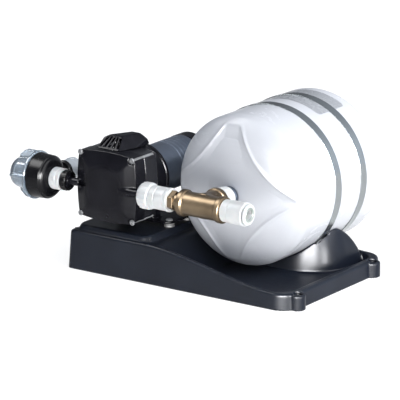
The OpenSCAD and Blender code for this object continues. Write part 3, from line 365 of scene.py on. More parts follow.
def piece(name, shape, slot, material=None, body="set", stands_for=None):
    """Puts a finished piece in the scene, on its body and in place of its plain solid.

    It takes its slot's finish unless it is given one, and stands for the solid of its own name unless
    others are named. A piece with no body is left without one.
    """
    stands_for = [name] if stands_for is None else stands_for
    mesh = shape if isinstance(shape, bpy.types.Mesh) else mesh_of(name, shape)
    mesh.materials.clear()
    mesh.materials.append(material or SLOT_FINISH[slot])
    obj = bpy.data.objects.new(name, mesh)
    bpy.context.scene.collection.objects.link(obj)
    if body:
        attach(obj, body)
    if stands_for:
        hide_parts(*stands_for)
    return obj


# REPEATED PIECES

def copies_tree():
    """Geometry nodes that set one item on every point, turned as the point says."""
    tree = bpy.data.node_groups.new("copies_on_points", "GeometryNodeTree")
    face = tree.interface
    face.new_socket("Geometry", in_out="INPUT", socket_type="NodeSocketGeometry")
    face.new_socket("Item", in_out="INPUT", socket_type="NodeSocketObject")
    face.new_socket("Finish", in_out="INPUT", socket_type="NodeSocketMaterial")
    face.new_socket("Geometry", in_out="OUTPUT", socket_type="NodeSocketGeometry")
    nodes, link = tree.nodes, tree.links.new
    given = nodes.new("NodeGroupInput")
    result = nodes.new("NodeGroupOutput")
    item = nodes.new("GeometryNodeObjectInfo")
    turn = nodes.new("GeometryNodeInputNamedAttribute")
    turn.data_type = "FLOAT_VECTOR"
    turn.inputs["Name"].default_value = "turn"
    spin = nodes.new("FunctionNodeEulerToRotation")
    points = nodes.new("GeometryNodeMeshToPoints")
    stand = nodes.new("GeometryNodeInstanceOnPoints")
    real = nodes.new("GeometryNodeRealizeInstances")
    finish = nodes.new("GeometryNodeSetMaterial")
    link(given.outputs["Geometry"], points.inputs["Mesh"])
    link(points.outputs["Points"], stand.inputs["Points"])
    link(given.outputs["Item"], item.inputs["Object"])
    link(item.outputs["Geometry"], stand.inputs["Instance"])
    link(turn.outputs["Attribute"], spin.inputs["Euler"])
    link(spin.outputs["Rotation"], stand.inputs["Rotation"])
    link(stand.outputs["Instances"], real.inputs["Geometry"])
    link(real.outputs["Geometry"], finish.inputs["Geometry"])
    link(given.outputs["Finish"], finish.inputs["Material"])
    link(finish.outputs["Geometry"], result.inputs["Geometry"])
    return tree


COPIES = copies_tree()


def copies(name, item, places, material):
    """One mesh of the item set at each (place, turn)."""
    sample = bpy.data.objects.new(name + "_item", mesh_of(name + "_item", item))
    points = bpy.data.meshes.new(name + "_places")
    points.from_pydata([tuple(np.array(at) * MM) for at, turn in places], [], [])
    turns = points.attributes.new("turn", "FLOAT_VECTOR", "POINT")
    turns.data.foreach_set("vector", np.array([turn for at, turn in places], np.float32).ravel())
    holder = bpy.data.objects.new(name + "_places", points)
    for o in (sample, holder):
        bpy.context.scene.collection.objects.link(o)
    step = holder.modifiers.new("copies", "NODES")
    step.node_group = COPIES
    names = {s.name: s.identifier for s in COPIES.interface.items_tree if s.in_out == "INPUT"}
    step[names["Item"]] = sample
    step[names["Finish"]] = material
    bpy.context.view_layer.update()
    graph = bpy.context.evaluated_depsgraph_get()
    mesh = bpy.data.meshes.new_from_object(holder.evaluated_get(graph))
    mesh.name = name
    for o in (holder, sample):
        bpy.data.objects.remove(o)
    return mesh


def merged(name, *meshes):
    """Several meshes as one."""
    objs = [bpy.data.objects.new(name, m) for m in meshes]
    for o in objs:
        bpy.context.scene.collection.objects.link(o)
    with bpy.context.temp_override(active_object=objs[0], selected_editable_objects=objs,
                                   selected_objects=objs):
        bpy.ops.object.join()
    mesh = objs[0].data
    bpy.data.objects.remove(objs[0])
    return mesh


def round_axis(count, radius, along, centre, place):
    """Places round an axis, with the item's up direction pointing outwards."""
    found = []
    for i in range(count):
        a = 2 * math.pi * i / count
        side, up = radius * math.sin(a), centre[1] + radius * math.cos(a)
        if along == "x":
            found.append(((place, centre[0] - side, up), (a, 0, 0)))
        else:
            found.append(((centre[0] + side, place, up), (0, a, 0)))
    return found


# FINISHES

def variation_group():
    """Shader group: slow tone, fine grain and faint scuffs over a surface."""
    tree = bpy.data.node_groups.new("surface_variation", "ShaderNodeTree")
    face = tree.interface
    face.new_socket("Vector", in_out="INPUT", socket_type="NodeSocketVector")
    for name, value in (("Tone Scale", 25.0), ("Grain Scale", 900.0), ("Scuff Scale", 120.0)):
        face.new_socket(name, in_out="INPUT", socket_type="NodeSocketFloat").default_value = value
    for name in ("Tone", "Grain", "Scuff"):
        face.new_socket(name, in_out="OUTPUT", socket_type="NodeSocketFloat")
    nodes, link = tree.nodes, tree.links.new
    given = nodes.new("NodeGroupInput")
    result = nodes.new("NodeGroupOutput")
    for name, detail in (("Tone", 3.0), ("Grain", 2.0)):
        noise = nodes.new("ShaderNodeTexNoise")
        noise.inputs["Detail"].default_value = detail
        link(given.outputs["Vector"], noise.inputs["Vector"])
        link(given.outputs[name + " Scale"], noise.inputs["Scale"])
        link(noise.outputs["Fac"], result.inputs[name])
    scuff = nodes.new("ShaderNodeTexNoise")
    scuff.inputs["Detail"].default_value = 6.0
    scuff.inputs["Roughness"].default_value = 0.72
    scuff.inputs["Distortion"].default_value = 0.8
    link(given.outputs["Vector"], scuff.inputs["Vector"])
    link(given.outputs["Scuff Scale"], scuff.inputs["Scale"])
    spread = nodes.new("ShaderNodeMapRange")
    spread.inputs["From Min"].default_value = 0.42
    spread.inputs["From Max"].default_value = 0.72
    link(scuff.outputs["Fac"], spread.inputs["Value"])
    link(spread.outputs["Result"], result.inputs["Scuff"])
    return tree


VARIATION = variation_group()


def finish(name, dark, light, rough, tone=25.0, grain=900.0, scuff=120.0, bump=0.1, height=0.02, stretch=None,
           **sockets):
    """A finish that runs from dark to light, with a grain, and with a roughness that follows its scuffs."""
    material = bpy.data.materials.new(name)
    material.use_nodes = True
    nodes, link = material.node_tree.nodes, material.node_tree.links.new
    shader = nodes["Principled BSDF"]
    place = nodes.new("ShaderNodeTexCoord")
    vector = place.outputs["Object"]
    if stretch:
        mapping = nodes.new("ShaderNodeMapping")
        mapping.inputs["Scale"].default_value = stretch
        link(place.outputs["UV"], mapping.inputs["Vector"])
        vector = mapping.outputs["Vector"]
    vary = nodes.new("ShaderNodeGroup")
    vary.node_tree = VARIATION
    vary.inputs["Tone Scale"].default_value = tone
    vary.inputs["Grain Scale"].default_value = grain
    vary.inputs["Scuff Scale"].default_value = scuff
    link(vector, vary.inputs["Vector"])
    ramp = nodes.new("ShaderNodeValToRGB")
    ramp.color_ramp.elements[0].position = 0.3
    ramp.color_ramp.elements[0].color = (*dark, 1)
    ramp.color_ramp.elements[1].position = 0.7
    ramp.color_ramp.elements[1].color = (*light, 1)
    link(vary.outputs["Tone"], ramp.inputs["Fac"])
    link(ramp.outputs["Color"], shader.inputs["Base Color"])
    spread = nodes.new("ShaderNodeMapRange")
    spread.inputs["To Min"].default_value = rough[0]
    spread.inputs["To Max"].default_value = rough[1]
    link(vary.outputs["Scuff"], spread.inputs["Value"])
    link(spread.outputs["Result"], shader.inputs["Roughness"])
    raised = nodes.new("ShaderNodeBump")
    raised.inputs["Strength"].default_value = bump
    raised.inputs["Distance"].default_value = height * MM
    link(vary.outputs["Grain"], raised.inputs["Height"])
    link(raised.outputs["Normal"], shader.inputs["Normal"])
    for key, value in sockets.items():
        shader.inputs[key.replace("_", " ")].default_value = value
    return material


TRAY_BLACK = finish("tray_gloss_black", (0.005, 0.007, 0.013), (0.009, 0.012, 0.020), (0.30, 0.38), tone=18,
                    grain=1400, scuff=60, bump=0.05, height=0.02, Specular_IOR_Level=0.14)
PUMP_PLASTIC = {"dark": (0.004, 0.004, 0.006), "light": (0.008, 0.008, 0.011), "rough": (0.22, 0.28),
                "tone": 40, "grain": 2600, "scuff": 150, "bump": 0.04, "height": 0.02}
PUMP_BLACK = finish("pump_black", **PUMP_PLASTIC, Specular_IOR_Level=0.08)
PUMP_SIDE = finish("pump_side_black", **PUMP_PLASTIC, Specular_IOR_Level=0.5)
FITTING_BLACK = finish("fitting_black", (0.003, 0.003, 0.004), (0.006, 0.006, 0.007), (0.22, 0.30), tone=60,
                       grain=2400, scuff=200, bump=0.06, height=0.02, Specular_IOR_Level=0.1)
FITTING_WHITE = finish("fitting_white", (0.52, 0.53, 0.53), (0.59, 0.60, 0.60), (0.28, 0.42), tone=55,
                       grain=1800, scuff=160, bump=0.15, height=0.02, Specular_IOR_Level=0.14,
                       Subsurface_Weight=0.06, Subsurface_Scale=0.003)
FITTING_GREY = finish("fitting_grey", (0.34, 0.37, 0.40), (0.42, 0.45, 0.48), (0.30, 0.44), tone=55,
                      grain=1800, scuff=160, bump=0.15, height=0.02)
TANK_WHITE = finish("tank_gloss_white", (0.51, 0.52, 0.55), (0.56, 0.57, 0.60), (0.25, 0.29), tone=9,
                    grain=260, scuff=12, bump=0.06, height=0.12, Specular_IOR_Level=0.12)
LABEL_FILM = finish("label_film", (0.29, 0.30, 0.32), (0.32, 0.33, 0.35), (0.24, 0.34), tone=30, grain=500,
                    scuff=60, bump=0.05, height=0.03)
BRASS = finish("cast_brass", (0.076, 0.056, 0.036), (0.112, 0.085, 0.056), (0.34, 0.42), tone=28, grain=900,
               scuff=60, bump=0.05, height=0.02, Metallic=1.0)
STRAP_STEEL = finish("brushed_band", (0.265, 0.285, 0.295), (0.345, 0.37, 0.38), (0.18, 0.26), tone=6,
                     grain=40, scuff=12, bump=0.12, height=0.01, stretch=(1.0, 60.0, 1.0), Metallic=1.0)
COLLET_GREY = finish("collet_grey_green", (0.20, 0.23, 0.21), (0.27, 0.30, 0.28), (0.30, 0.44), tone=70,
                     bump=0.1)
BRIGHT_STEEL = finish("plated_steel", (0.55, 0.56, 0.57), (0.72, 0.73, 0.74), (0.16, 0.32), tone=150,
                      grain=2500, scuff=400, bump=0.1, height=0.01, Metallic=1.0)
MOTOR_STEEL = finish("motor_satin_steel", (0.070, 0.086, 0.116), (0.098, 0.118, 0.154), (0.36, 0.48), tone=30,
                     grain=1500, scuff=90, bump=0.15, height=0.02, Metallic=0.75)
SCREW_STEEL = finish("dull_screw_steel", (0.15, 0.153, 0.158), (0.22, 0.224, 0.23), (0.44, 0.56), tone=150,
                     grain=2500, scuff=400, bump=0.1, height=0.01, Specular_IOR_Level=0.1)
RUBBER = finish("black_rubber", (0.012, 0.012, 0.012), (0.022, 0.022, 0.023), (0.62, 0.8), tone=60,
                grain=2200, scuff=150, bump=0.4, height=0.04)
INNER_WHITE = finish("inner_white", (0.60, 0.60, 0.57), (0.70, 0.70, 0.67), (0.38, 0.5), tone=60, bump=0.1)
CAM_METAL = finish("sintered_cam", (0.16, 0.16, 0.17), (0.26, 0.26, 0.27), (0.4, 0.6), tone=120, grain=3000,
                   bump=0.4, height=0.03, Metallic=1.0)
MAGNET = finish("ferrite", (0.03, 0.03, 0.032), (0.06, 0.06, 0.062), (0.5, 0.7), tone=80, grain=3000,
                bump=0.3)
CORE_STEEL = finish("laminated_core", (0.20, 0.20, 0.21), (0.34, 0.35, 0.36), (0.3, 0.5), tone=110,
                    grain=2200, bump=0.3, Metallic=1.0)
COPPER = finish("bare_copper", (0.45, 0.17, 0.08), (0.70, 0.32, 0.17), (0.22, 0.4), tone=160, grain=1800,
                bump=0.25, height=0.04, Metallic=1.0)
CARBON = finish("pressed_carbon", (0.015, 0.015, 0.016), (0.03, 0.03, 0.03), (0.5, 0.66), tone=120, bump=0.3)
BRONZE = finish("sintered_bronze", (0.30, 0.20, 0.09), (0.45, 0.32, 0.16), (0.35, 0.5), tone=150, grain=3200,
                bump=0.4, height=0.03, Metallic=1.0)
CLEAR = finish("clear_cap", (0.27, 0.32, 0.37), (0.42, 0.47, 0.52), (0.12, 0.26), tone=35, grain=900,
               scuff=120, bump=0.1, height=0.03, Transmission_Weight=0.72, IOR=1.47)

SLOT_FINISH = {"tray_plastic": TRAY_BLACK, "rubber_black": RUBBER, "bright_steel": BRIGHT_STEEL,
               "pump_black": PUMP_BLACK, "fitting_black": FITTING_BLACK, "inner_white": INNER_WHITE,
               "cam_metal": CAM_METAL, "motor_steel": MOTOR_STEEL, "magnet_grey": MAGNET,
               "core_steel": CORE_STEEL, "copper": COPPER, "carbon": CARBON, "bronze": BRONZE,
               "clear_plastic": CLEAR, "fitting_white": FITTING_WHITE, "fitting_grey": FITTING_GREY,
               "brass": BRASS, "tank_white": TANK_WHITE, "label_film": LABEL_FILM,
               "strap_steel": STRAP_STEEL}


# TRAY

def band_offset(x, z, r, angle):
    """Distance from a strap's path: a round over the tank and a flatter round under the cradle."""
    low = STRAP_DROP / (1 - math.sin(math.radians(angle)))
    r2 = r - low * math.sin(math.radians(angle))
    px, py = np.abs(x - TANK_X), AXIS_Z - z
    b = (r - r2) / low
    a = math.sqrt(1 - b * b)
    k = -b * px + a * py
    under = np.where(k > a * low, np.hypot(px, py - low) - r2, a * px + b * py - r)
    return np.where(k < 0, np.hypot(px, py) - r, under)


def tray_wall(x, y, z):
    """Distance from the tray's outer wall, which leans in towards its top."""
    lean = WALL_LEAN * np.clip(z, 0, 60) / DECK
    return rounded_plan(x, y, -TRAY_X, TRAY_X, TRAY_FRONT, TRAY_BACK, *WALL_CORNERS) + lean


def cradle_hump(x, y, z):
    """Distance from the hump beside the tank, with leaning sides, a round corner and a back that falls."""
    t = np.clip((z - HUMP_LOW) / HUMP_RISE, 0, 1.1)
    lean = 4 * t + 9 * t * t
    plan = rounded_plan(x, y, TANK_X - HUMP_HALF + lean, TANK_X + HUMP_HALF - lean, HUMP_FRONT + lean, 150,
                        6.0, 57 - lean, 6.0)
    plan = soft_max(plan, y - HUMP_BACK, 12.0)
    fall = np.clip((y - 45) / 68, 0, 1.05)
    crest = (z - 65.5 + 50 * fall ** 2.6) / np.sqrt(1 + (1.91 * fall ** 1.6) ** 2)
    return soft_max(plan, crest, 5.0)


def tray_outside(x, y, z):
    """Distance from the tray's outside: wall and rim, well, hump and plinth, less the tank's place."""
    rim = DECK - (DECK - RIM) * ease((x + 54.5) / 210)
    body = soft_max(tray_wall(x, y, z), z - rim, 4.5)
    t = (x + 42) / 54
    above = (DECK - (DECK - FLOOR) * ease(t) - z) * steep(DECK - FLOOR, 54, t)
    well = soft_max(rounded_plan(x, y, *WELL, 6.0, 22.0), above, 4.0)
    body = soft_max(body, -well, 4.0)
    body = soft_min(body, cradle_hump(x, y, z), 2.5)
    lean = 3 * np.clip((z - DECK) / 7, 0, 1)
    x0, x1, y0, y1 = PLINTH
    plinth = rounded_plan(x, y, x0 + lean, x1 - lean, y0 + lean, y1 - lean, 14.0, 14.0)
    body = soft_min(body, soft_max(plinth, z - PLINTH_TOP, 3.0), 2.0)
    tank = np.minimum(TANK_R + 0.25 - np.hypot(x - TANK_X, z - AXIS_Z), y + 18)
    return soft_max(body, tank, 2.5)


def tray_field(x, y, z):
    """The tray as a shell, with its foot bosses, lugs, screw holes and strap slots."""
    outside = tray_outside(x, y, z)
    solid = soft_max(outside, -(outside + SKIN), 1.0)
    for fx, fy in FEET:
        solid = soft_min(solid, np.maximum(np.hypot(x - fx, y - fy) - 6, np.maximum(37 - z, z - 57)), 1.5)
    wall = tray_wall(x, y, z)
    for lx, ly in LUGS:
        far = np.hypot(x - lx, y - ly)
        solid = soft_min(solid, soft_max(far - 10.5, z - 20, 2.5), 2.0)
        if lx < 0:
            solid = soft_min(solid, np.maximum(soft_max(far - 9, z - DECK, 2.0), wall), 0.8)
        solid = soft_max(solid, 2.75 - far, 0.5)
        solid = soft_max(solid, -np.maximum(far - 5.5, 17 - z), 0.8)
    for y0, angle in STRAPS.values():
        path = np.abs(band_offset(x, z, TANK_R + STRAP_GAP + STRAP_T / 2, angle)) - STRAP_T / 2 - 0.8
        solid = soft_max(solid, -np.maximum(path, np.abs(y - y0) - STRAP_W / 2 - 0.8), 0.5)
    return soft_max(solid, -z, 0.8)


piece("moulded_tray", moulded(tray_field, (-186, -114, -3), (186, 124, 69), 2.0), "tray_plastic",
      stands_for=["base_tray", "tank_cradle"])


# PUMP FOOT

def cross_head(radius, height):
    """Round screw head with a cross recess, its seat at zero and its top upwards."""

    def field(x, y, z):
        r = np.hypot(x, y)
        dome = height - 0.5 * height * (r / radius) ** 2
        head = soft_max(soft_max(r - radius, z - dome, 0.7), -z, 0.3)
        wide, thin = radius * 0.62, radius * 0.16
        cross = np.minimum(np.maximum(np.abs(x) - wide, np.abs(y) - thin),
                           np.maximum(np.abs(y) - wide, np.abs(x) - thin))
        return soft_max(head, -np.maximum(cross, height * 0.35 + r * 0.35 - z), 0.25)

    edge = radius + 0.6
    return moulded(field, (-edge, -edge, -0.6), (edge, edge, height + 0.6), radius / 14)


foot = turned([(2.5, 59), (7, 59), (7, 60), (6.2, 61.5), (7, 63), (7, 64), (4.4, 64), (4.4, 67), (2.5, 67)],
              "z", (0, 0), 0.4, 48)
piece("rubber_feet", copies("rubber_feet", foot, [((fx, fy, 0), (0, 0, 0)) for fx, fy in FEET], RUBBER),
      "rubber_black")
screw = joined(placed(cross_head(4.6, 2.8), np.eye(3), (0, 0, 67)),
               turned([(0, 47.4), (1.6, 47.4), (2.4, 49), (2.4, 67), (0, 67)], "z", (0, 0), 0.3, 32, False))
piece("foot_screws", copies("foot_screws", screw, [((fx, fy, 0), (0, 0, 0.5 + fx)) for fx, fy in FEET],
                            SCREW_STEEL), "bright_steel", material=SCREW_STEEL)


def foot_plate_field(x, y, z):
    """Plate on the four feet, with a riser hollowed to the drive housing."""
    plate = soft_max(rounded_plan(x, y, -164, -52, -50.5, 10, 10.0, 10.0), np.abs(z - 65.5) - 1.5, 0.8)
    drop = z - 84 + 0.004 * (x - PUMP_X) ** 2
    riser = soft_max(np.abs(x - PUMP_X) - 30, np.abs(y + 40.75) - 8.75, 2.0)
    riser = soft_max(riser, np.maximum(drop, 65 - z), 1.0)
    solid = soft_min(plate, riser, 3.0)
    for fx, fy in FEET:
        solid = np.maximum(solid, 4.5 - np.hypot(x - fx, y - fy))
    return np.maximum(solid, 42.1 - np.hypot(x - PUMP_X, z - AXIS_Z))


piece("pump_foot_plate", moulded(foot_plate_field, (-166, -53, 62), (-50, 12, 86), 1.1), "pump_black")


# PUMP HEAD

def from_pump(x, y, z):
    """Places counted from the pump's axis and along the pump."""
    return x - PUMP_X, y - PUMP_Y, z - AXIS_Z


def screw_ears(x, z):
    """Distance from the nearest cover screw's axis."""
    return np.hypot(np.abs(x) - SCREW_AT, np.abs(z) - SCREW_AT)


def head_outline(x, z):
    """Distance from the square head's outline: four bulged sides and cut corners."""
    c = HEAD - BULGE_R
    sides = soft_max(np.hypot(x - c, z), np.hypot(x + c, z), 1.0)
    ends = soft_max(np.hypot(x, z - c), np.hypot(x, z + c), 1.0)
    return soft_max(soft_max(sides, ends, 3.0) - BULGE_R, np.hypot(x, z) - CORNER_R, 3.0)


def cover_field(x, y, z):
    """Pillowed cover with two ports, screw ears and the hollows behind its face."""
    x, s, z = from_pump(x, y, z)
    r = np.hypot(x, z)
    edge = head_outline(x, z)
    ears = screw_ears(x, z)
    pillow = soft_min(PILLOW_SLOPE * np.maximum(-edge - 0.8, 0), np.full_like(x, PILLOW), 3.0)
    pillow = pillow - 0.18 * np.exp(-((r - COVER_RING_R) / 0.9) ** 2)
    solid = soft_max(soft_max(edge, (-pillow - s) * 0.9, 1.3), s - S_BODY, 0.9)
    solid = soft_max(solid, -np.maximum(ears - 5.6, s), 1.0)
    line = np.hypot(s + PUMP_Y - LINE_Y, z)
    neck = np.minimum(np.maximum(-58.7 - x, x + 40), np.maximum(24 - x, x - 68.7))
    solid = soft_min(solid, soft_max(line - NECK_R, neck, 0.6), 2.0)
    port_ends = np.minimum(np.maximum(59 - x, x - 68.7), np.maximum(-58.7 - x, x + 57.5))
    solid = np.minimum(solid, np.maximum(line - PORT_END_R, port_ends))
    solid = np.maximum(solid, -np.maximum(line - PORT_R, np.minimum(-x, x + 26)))
    ring = np.maximum(np.abs(r - 14.5) - 1.5, s - 13)
    solid = soft_max(solid, -np.maximum(np.maximum(r - 34, 4 - s), -ring), 0.5)
    solid = np.maximum(solid, -np.maximum(np.hypot(x, s - PLUNGER_S) - 5.6, 37.8 - z))
    return np.maximum(solid, 2.1 - ears)


def body_field(x, y, z):
    """Square body behind the cover, with a round bore and blind screw holes."""
    x, s, z = from_pump(x, y, z)
    solid = soft_max(head_outline(x, z) + 0.5, np.abs(s - (S_BODY + S_DRIVE) / 2) - 13.2, 1.6)
    solid = np.maximum(solid, 30 - np.hypot(x, z))
    ears = screw_ears(x, z)
    return np.maximum(solid, -np.maximum(ears - 2.05, s - 46))


piece("pump_cover", moulded(cover_field, (-169, -122, 66), (-37, -87, 174), 1.05), "pump_black")
piece("pump_body", moulded(body_field, (-158, -91, 68), (-58, -60, 172), 1.05), "pump_black",
      material=PUMP_SIDE)
cover_screw = joined(placed(cross_head(3.7, 2.4), np.eye(3), (0, 0, 0)),
                     turned([(0, -45), (1.4, -45), (2, -43.5), (2, 0), (0, 0)], "z", (0, 0), 0.3, 32, False))
places = [((PUMP_X + sx * SCREW_AT, PUMP_Y, AXIS_Z + sz * SCREW_AT), (math.pi / 2, 0.4 * sx + sz, 0))
          for sx in (-1, 1) for sz in (-1, 1)]
piece("cover_screws", copies("cover_screws", cover_screw, places, SCREW_STEEL), "bright_steel",
      material=SCREW_STEEL)
drive = on_pump([(25, 44), (29.9, 44), (29.9, 49), (40, 49), (42, 51), (42, 74), (40.6, 75), (40.6, 76),
                 (42, 77), (42, 81.5), (30.8, 81.5), (30.8, 86), (24.9, 86), (24.9, 78), (11.02, 78),
                 (11.02, 70), (5.2, 70), (5.2, 68), (36, 68), (36, 53), (25, 53)], 0.8)
piece("drive_housing", joined(drive, slab(box_outline(-125, -91, -62.5, -45.5), 152, 167, 1.2, "z", 3)),
      "pump_black")


# MOTOR

can = [(30.9, 81.5), (32.7, 81.5)]
for groove in (88.8, 126, 134, 142, 150, 158):
    can += [(32.7, groove - 0.9), (32.3, groove - 0.2), (32.3, groove + 0.8), (32.7, groove + 1.5)]
piece("motor_can", on_pump(can + [(32.7, 170), (30.9, 170)], 0.5), "motor_steel")


def end_cap_field(x, y, z):
    """Motor end cap with its brush holders, bush seat, vents and cable hole."""
    x, s, z = from_pump(x, y, z)
    r = np.hypot(x, z)
    solid = soft_max(soft_max(r - 33.2 + 2.4 * ease((s - 188) / 3), s - S_END, 3.0), S_CAP - s, 0.6)
    solid = np.minimum(solid, np.maximum(np.maximum(r - 30.8, s - 175), 166 - s))
    holder = np.maximum(r - 12, 176 - s)
    arms = np.maximum(np.maximum(np.abs(np.abs(x) - 21) - 7, np.abs(z) - 6), np.maximum(s - 174, 157 - s))
    web = np.maximum(np.abs(z) - 3, 174 - s)
    hollow = np.maximum(np.maximum(r - 27.9, s - 189), -np.minimum(np.minimum(holder, arms), web))
    solid = soft_max(solid, -hollow, 0.4)
    solid = np.minimum(solid, np.maximum(arms, r - 27.9))
    solid = np.maximum(solid, -np.maximum(r - 8.03, np.abs(s - 182) - 5))
    solid = np.maximum(solid, -np.maximum(r - 5.2, s - 190))
    brush = np.maximum(np.abs(np.abs(x) - 16.25) - 6.1, np.maximum(np.abs(s - 162) - 4.1, np.abs(z) - 3.1))
    solid = np.maximum(solid, -brush)
    angle = np.arctan2(z, x)
    vents = np.maximum(np.abs(r - 21) - 4.5, np.abs(np.mod(angle, np.pi / 6) - np.pi / 12) * r - 1.6)
    vents = np.maximum(vents, np.maximum(186 - s, -z - 4))
    solid = soft_max(solid, -vents, 0.4)
    return np.maximum(solid, -np.maximum(np.hypot(x + 16, z + 16) - 5.1, 187 - s))


piece("motor_end_cap", moulded(end_cap_field, (-143, 44, 85), (-73, 85, 155), 0.95), "pump_black")
piece("cable_gland", turned([(3, 76), (5, 76), (5, 82.5), (7.5, 82.5), (7.5, 85), (5, 85), (4.4, 90.5),
                             (3, 90.5)], "y", (PUMP_X - 16, AXIS_Z - 16), 0.5, 48), "rubber_black")


# PRESSURE SWITCH BOX

RAMP_LOW, RAMP_RUN = 11.0, 17.0
COIL_LOW, COIL_HIGH = 161.3, 167.85


def box_ramp(s, z):
    """Distance from the switch box's sloping front."""
    return -0.586 * (s - RAMP_LOW) + 0.811 * (z - 169)


def box_outside(x, s, z):
    """Body with a small crown, two sloping flanks and a slotted ramp for its front."""
    middle, half = -5.5 + 0.42 * (s - 29), 9.7 - 0.11 * (s - 29)
    flank = 0.68 * (np.abs(x - middle) - half + z - 182)
    rear = 0.86 * (s - 66) + 0.5 * (z - 167)
    body = soft_max(soft_max(flank, np.abs(x) - 21.5, 1.5), soft_max(rear, 9 - s, 1.0), 1.4)
    return soft_max(soft_max(body, box_ramp(s, z), 1.2), z - 182.1, 1.6)


def switch_box_field(x, y, z):
    """Hollow switch box with five slots in its ramp, room for the plunger and the plate that guides it."""
    x, s = x - PUMP_X, y - PUMP_Y
    outside = box_outside(x, s, z)
    up = np.clip((s - RAMP_LOW) / RAMP_RUN, 0, 1)
    slot = np.full_like(x, 1e3)
    for i in range(-2, 3):
        slot = np.minimum(slot, np.abs(x + 4.6 + 0.6 * up - i * (7.1 - 2.7 * up)) - 2.0 + 0.6 * up)
    slot = np.maximum(np.maximum(slot, np.abs(s - 19.4) - 7.6), -box_ramp(s, z) - 6.0)
    solid = soft_max(outside, -(outside + 1.6), 0.4)
    solid = soft_max(solid, -slot, 0.4)
    solid = np.maximum(solid, -np.maximum(np.hypot(x, s - PLUNGER_S) - 2.9, box_ramp(s, z) + 0.75))
    plate = np.maximum(np.maximum(np.abs(z - 168.8) - 0.6, s - 22.5), outside)
    solid = np.minimum(solid, np.maximum(plate, 2.7 - np.hypot(x, s - PLUNGER_S)))
    return np.maximum(solid, 167.1 - z)


piece("switch_box", moulded(switch_box_field, (-133, -108, 165.5), (-83, -44, 185), 0.7), "pump_black")


def wound_wire(centre, radius, wire, low, high, turns, sides=10):
    """Round wire wound upwards around an upright axis."""
    t = np.linspace(0, 1, 36 * turns + 1)
    a = 2 * math.pi * turns * t
    out = np.stack([np.cos(a), np.sin(a), 0 * a], 1)
    ahead = np.stack([-np.sin(a), np.cos(a), 0 * a + (high - low) / (2 * math.pi * turns * radius)], 1)
    side = np.cross(ahead / np.linalg.norm(ahead, axis=1)[:, None], out)
    middle = np.array([centre[0], centre[1], low]) + radius * out + np.outer(t, (0, 0, high - low))
    b = 2 * math.pi * np.arange(sides) / sides
    normals = out[:, None] * np.cos(b)[None, :, None] + side[:, None] * np.sin(b)[None, :, None]
    points = middle[:, None] + wire * normals
    i, j = np.meshgrid(np.arange(len(t) - 1) * sides, np.arange(sides), indexing="ij")
    k = (j + 1) % sides
    quads = np.stack([i + j, i + k, i + sides + k, i + sides + j], -1).reshape(-1, 4)
    last = (len(t) - 1) * sides
    fan = range(1, sides - 1)
    caps = [(0, n + 1, n) for n in fan] + [(last, last + n, last + n + 1) for n in fan]
    return Shape(points.reshape(-1, 3), normals.reshape(-1, 3), quads, caps)


plunger_at = (PUMP_X, PUMP_Y + PLUNGER_S)
piece("switch_plunger", turned([(0, 159.3), (5.3, 159.3), (5.3, 160.7), (2.4, 160.7), (2.4, 168), (1, 168),
                                (1, 169.1), (0, 169.1)], "z", plunger_at, 0.25, 64, False), "inner_white",
      body="plunger")
spring = piece("switch_spring", wound_wire(plunger_at, 3.9, 0.45, COIL_LOW, COIL_HIGH, 4), "bright_steel",
               body=None)
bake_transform(spring)
lever = slab(box_outline(PUMP_X - 2, PUMP_X + 2, PUMP_Y + 14.9, PUMP_Y + 25), 170.45, 170.85, 0.12,
             corner=0.8)
case = slab(box_outline(PUMP_X - 3.2, PUMP_X + 3.2, PUMP_Y + 24.5, PUMP_Y + 42.5), 167.1, 175.5, 0.5,
            corner=0.8)
piece("micro_switch", joined(case, lever), "pump_black")


# STRAINER

def strainer_body_field(x, y, z):
    """Stepped bowl with a domed end, a side port and its bores."""
    line = np.hypot(y - LINE_Y, z - AXIS_Z)
    taper = (30 - 0.5 * ease((x + 215.5) / 3) - 1.0 * np.clip((x + 212.5) / 17, 0, 1)
             - 1.6 * ease((x + 196) / 1.6))
    drop = np.clip((x + 194.5) / 5, 0, 1)
    taper = taper - 11.5 * (1 - np.sqrt(np.clip(1 - drop ** 2, 0, 1)))
    solid = soft_max(soft_max(line - taper, -215.5 - x, 0.8), x + 189.5, 1.0)
    side = np.hypot(x - SIDE_X, z - AXIS_Z)
    solid = soft_min(solid, np.maximum(soft_max(side - 11, y + 77, 0.8), LINE_Y + 19 - y), 1.2)
    solid = soft_max(solid, -np.maximum(line - 23.3, x + 197.5), 0.6)
    solid = np.maximum(solid, 9.6 - line)
    return np.maximum(solid, -np.maximum(side - 5.5, LINE_Y - y))


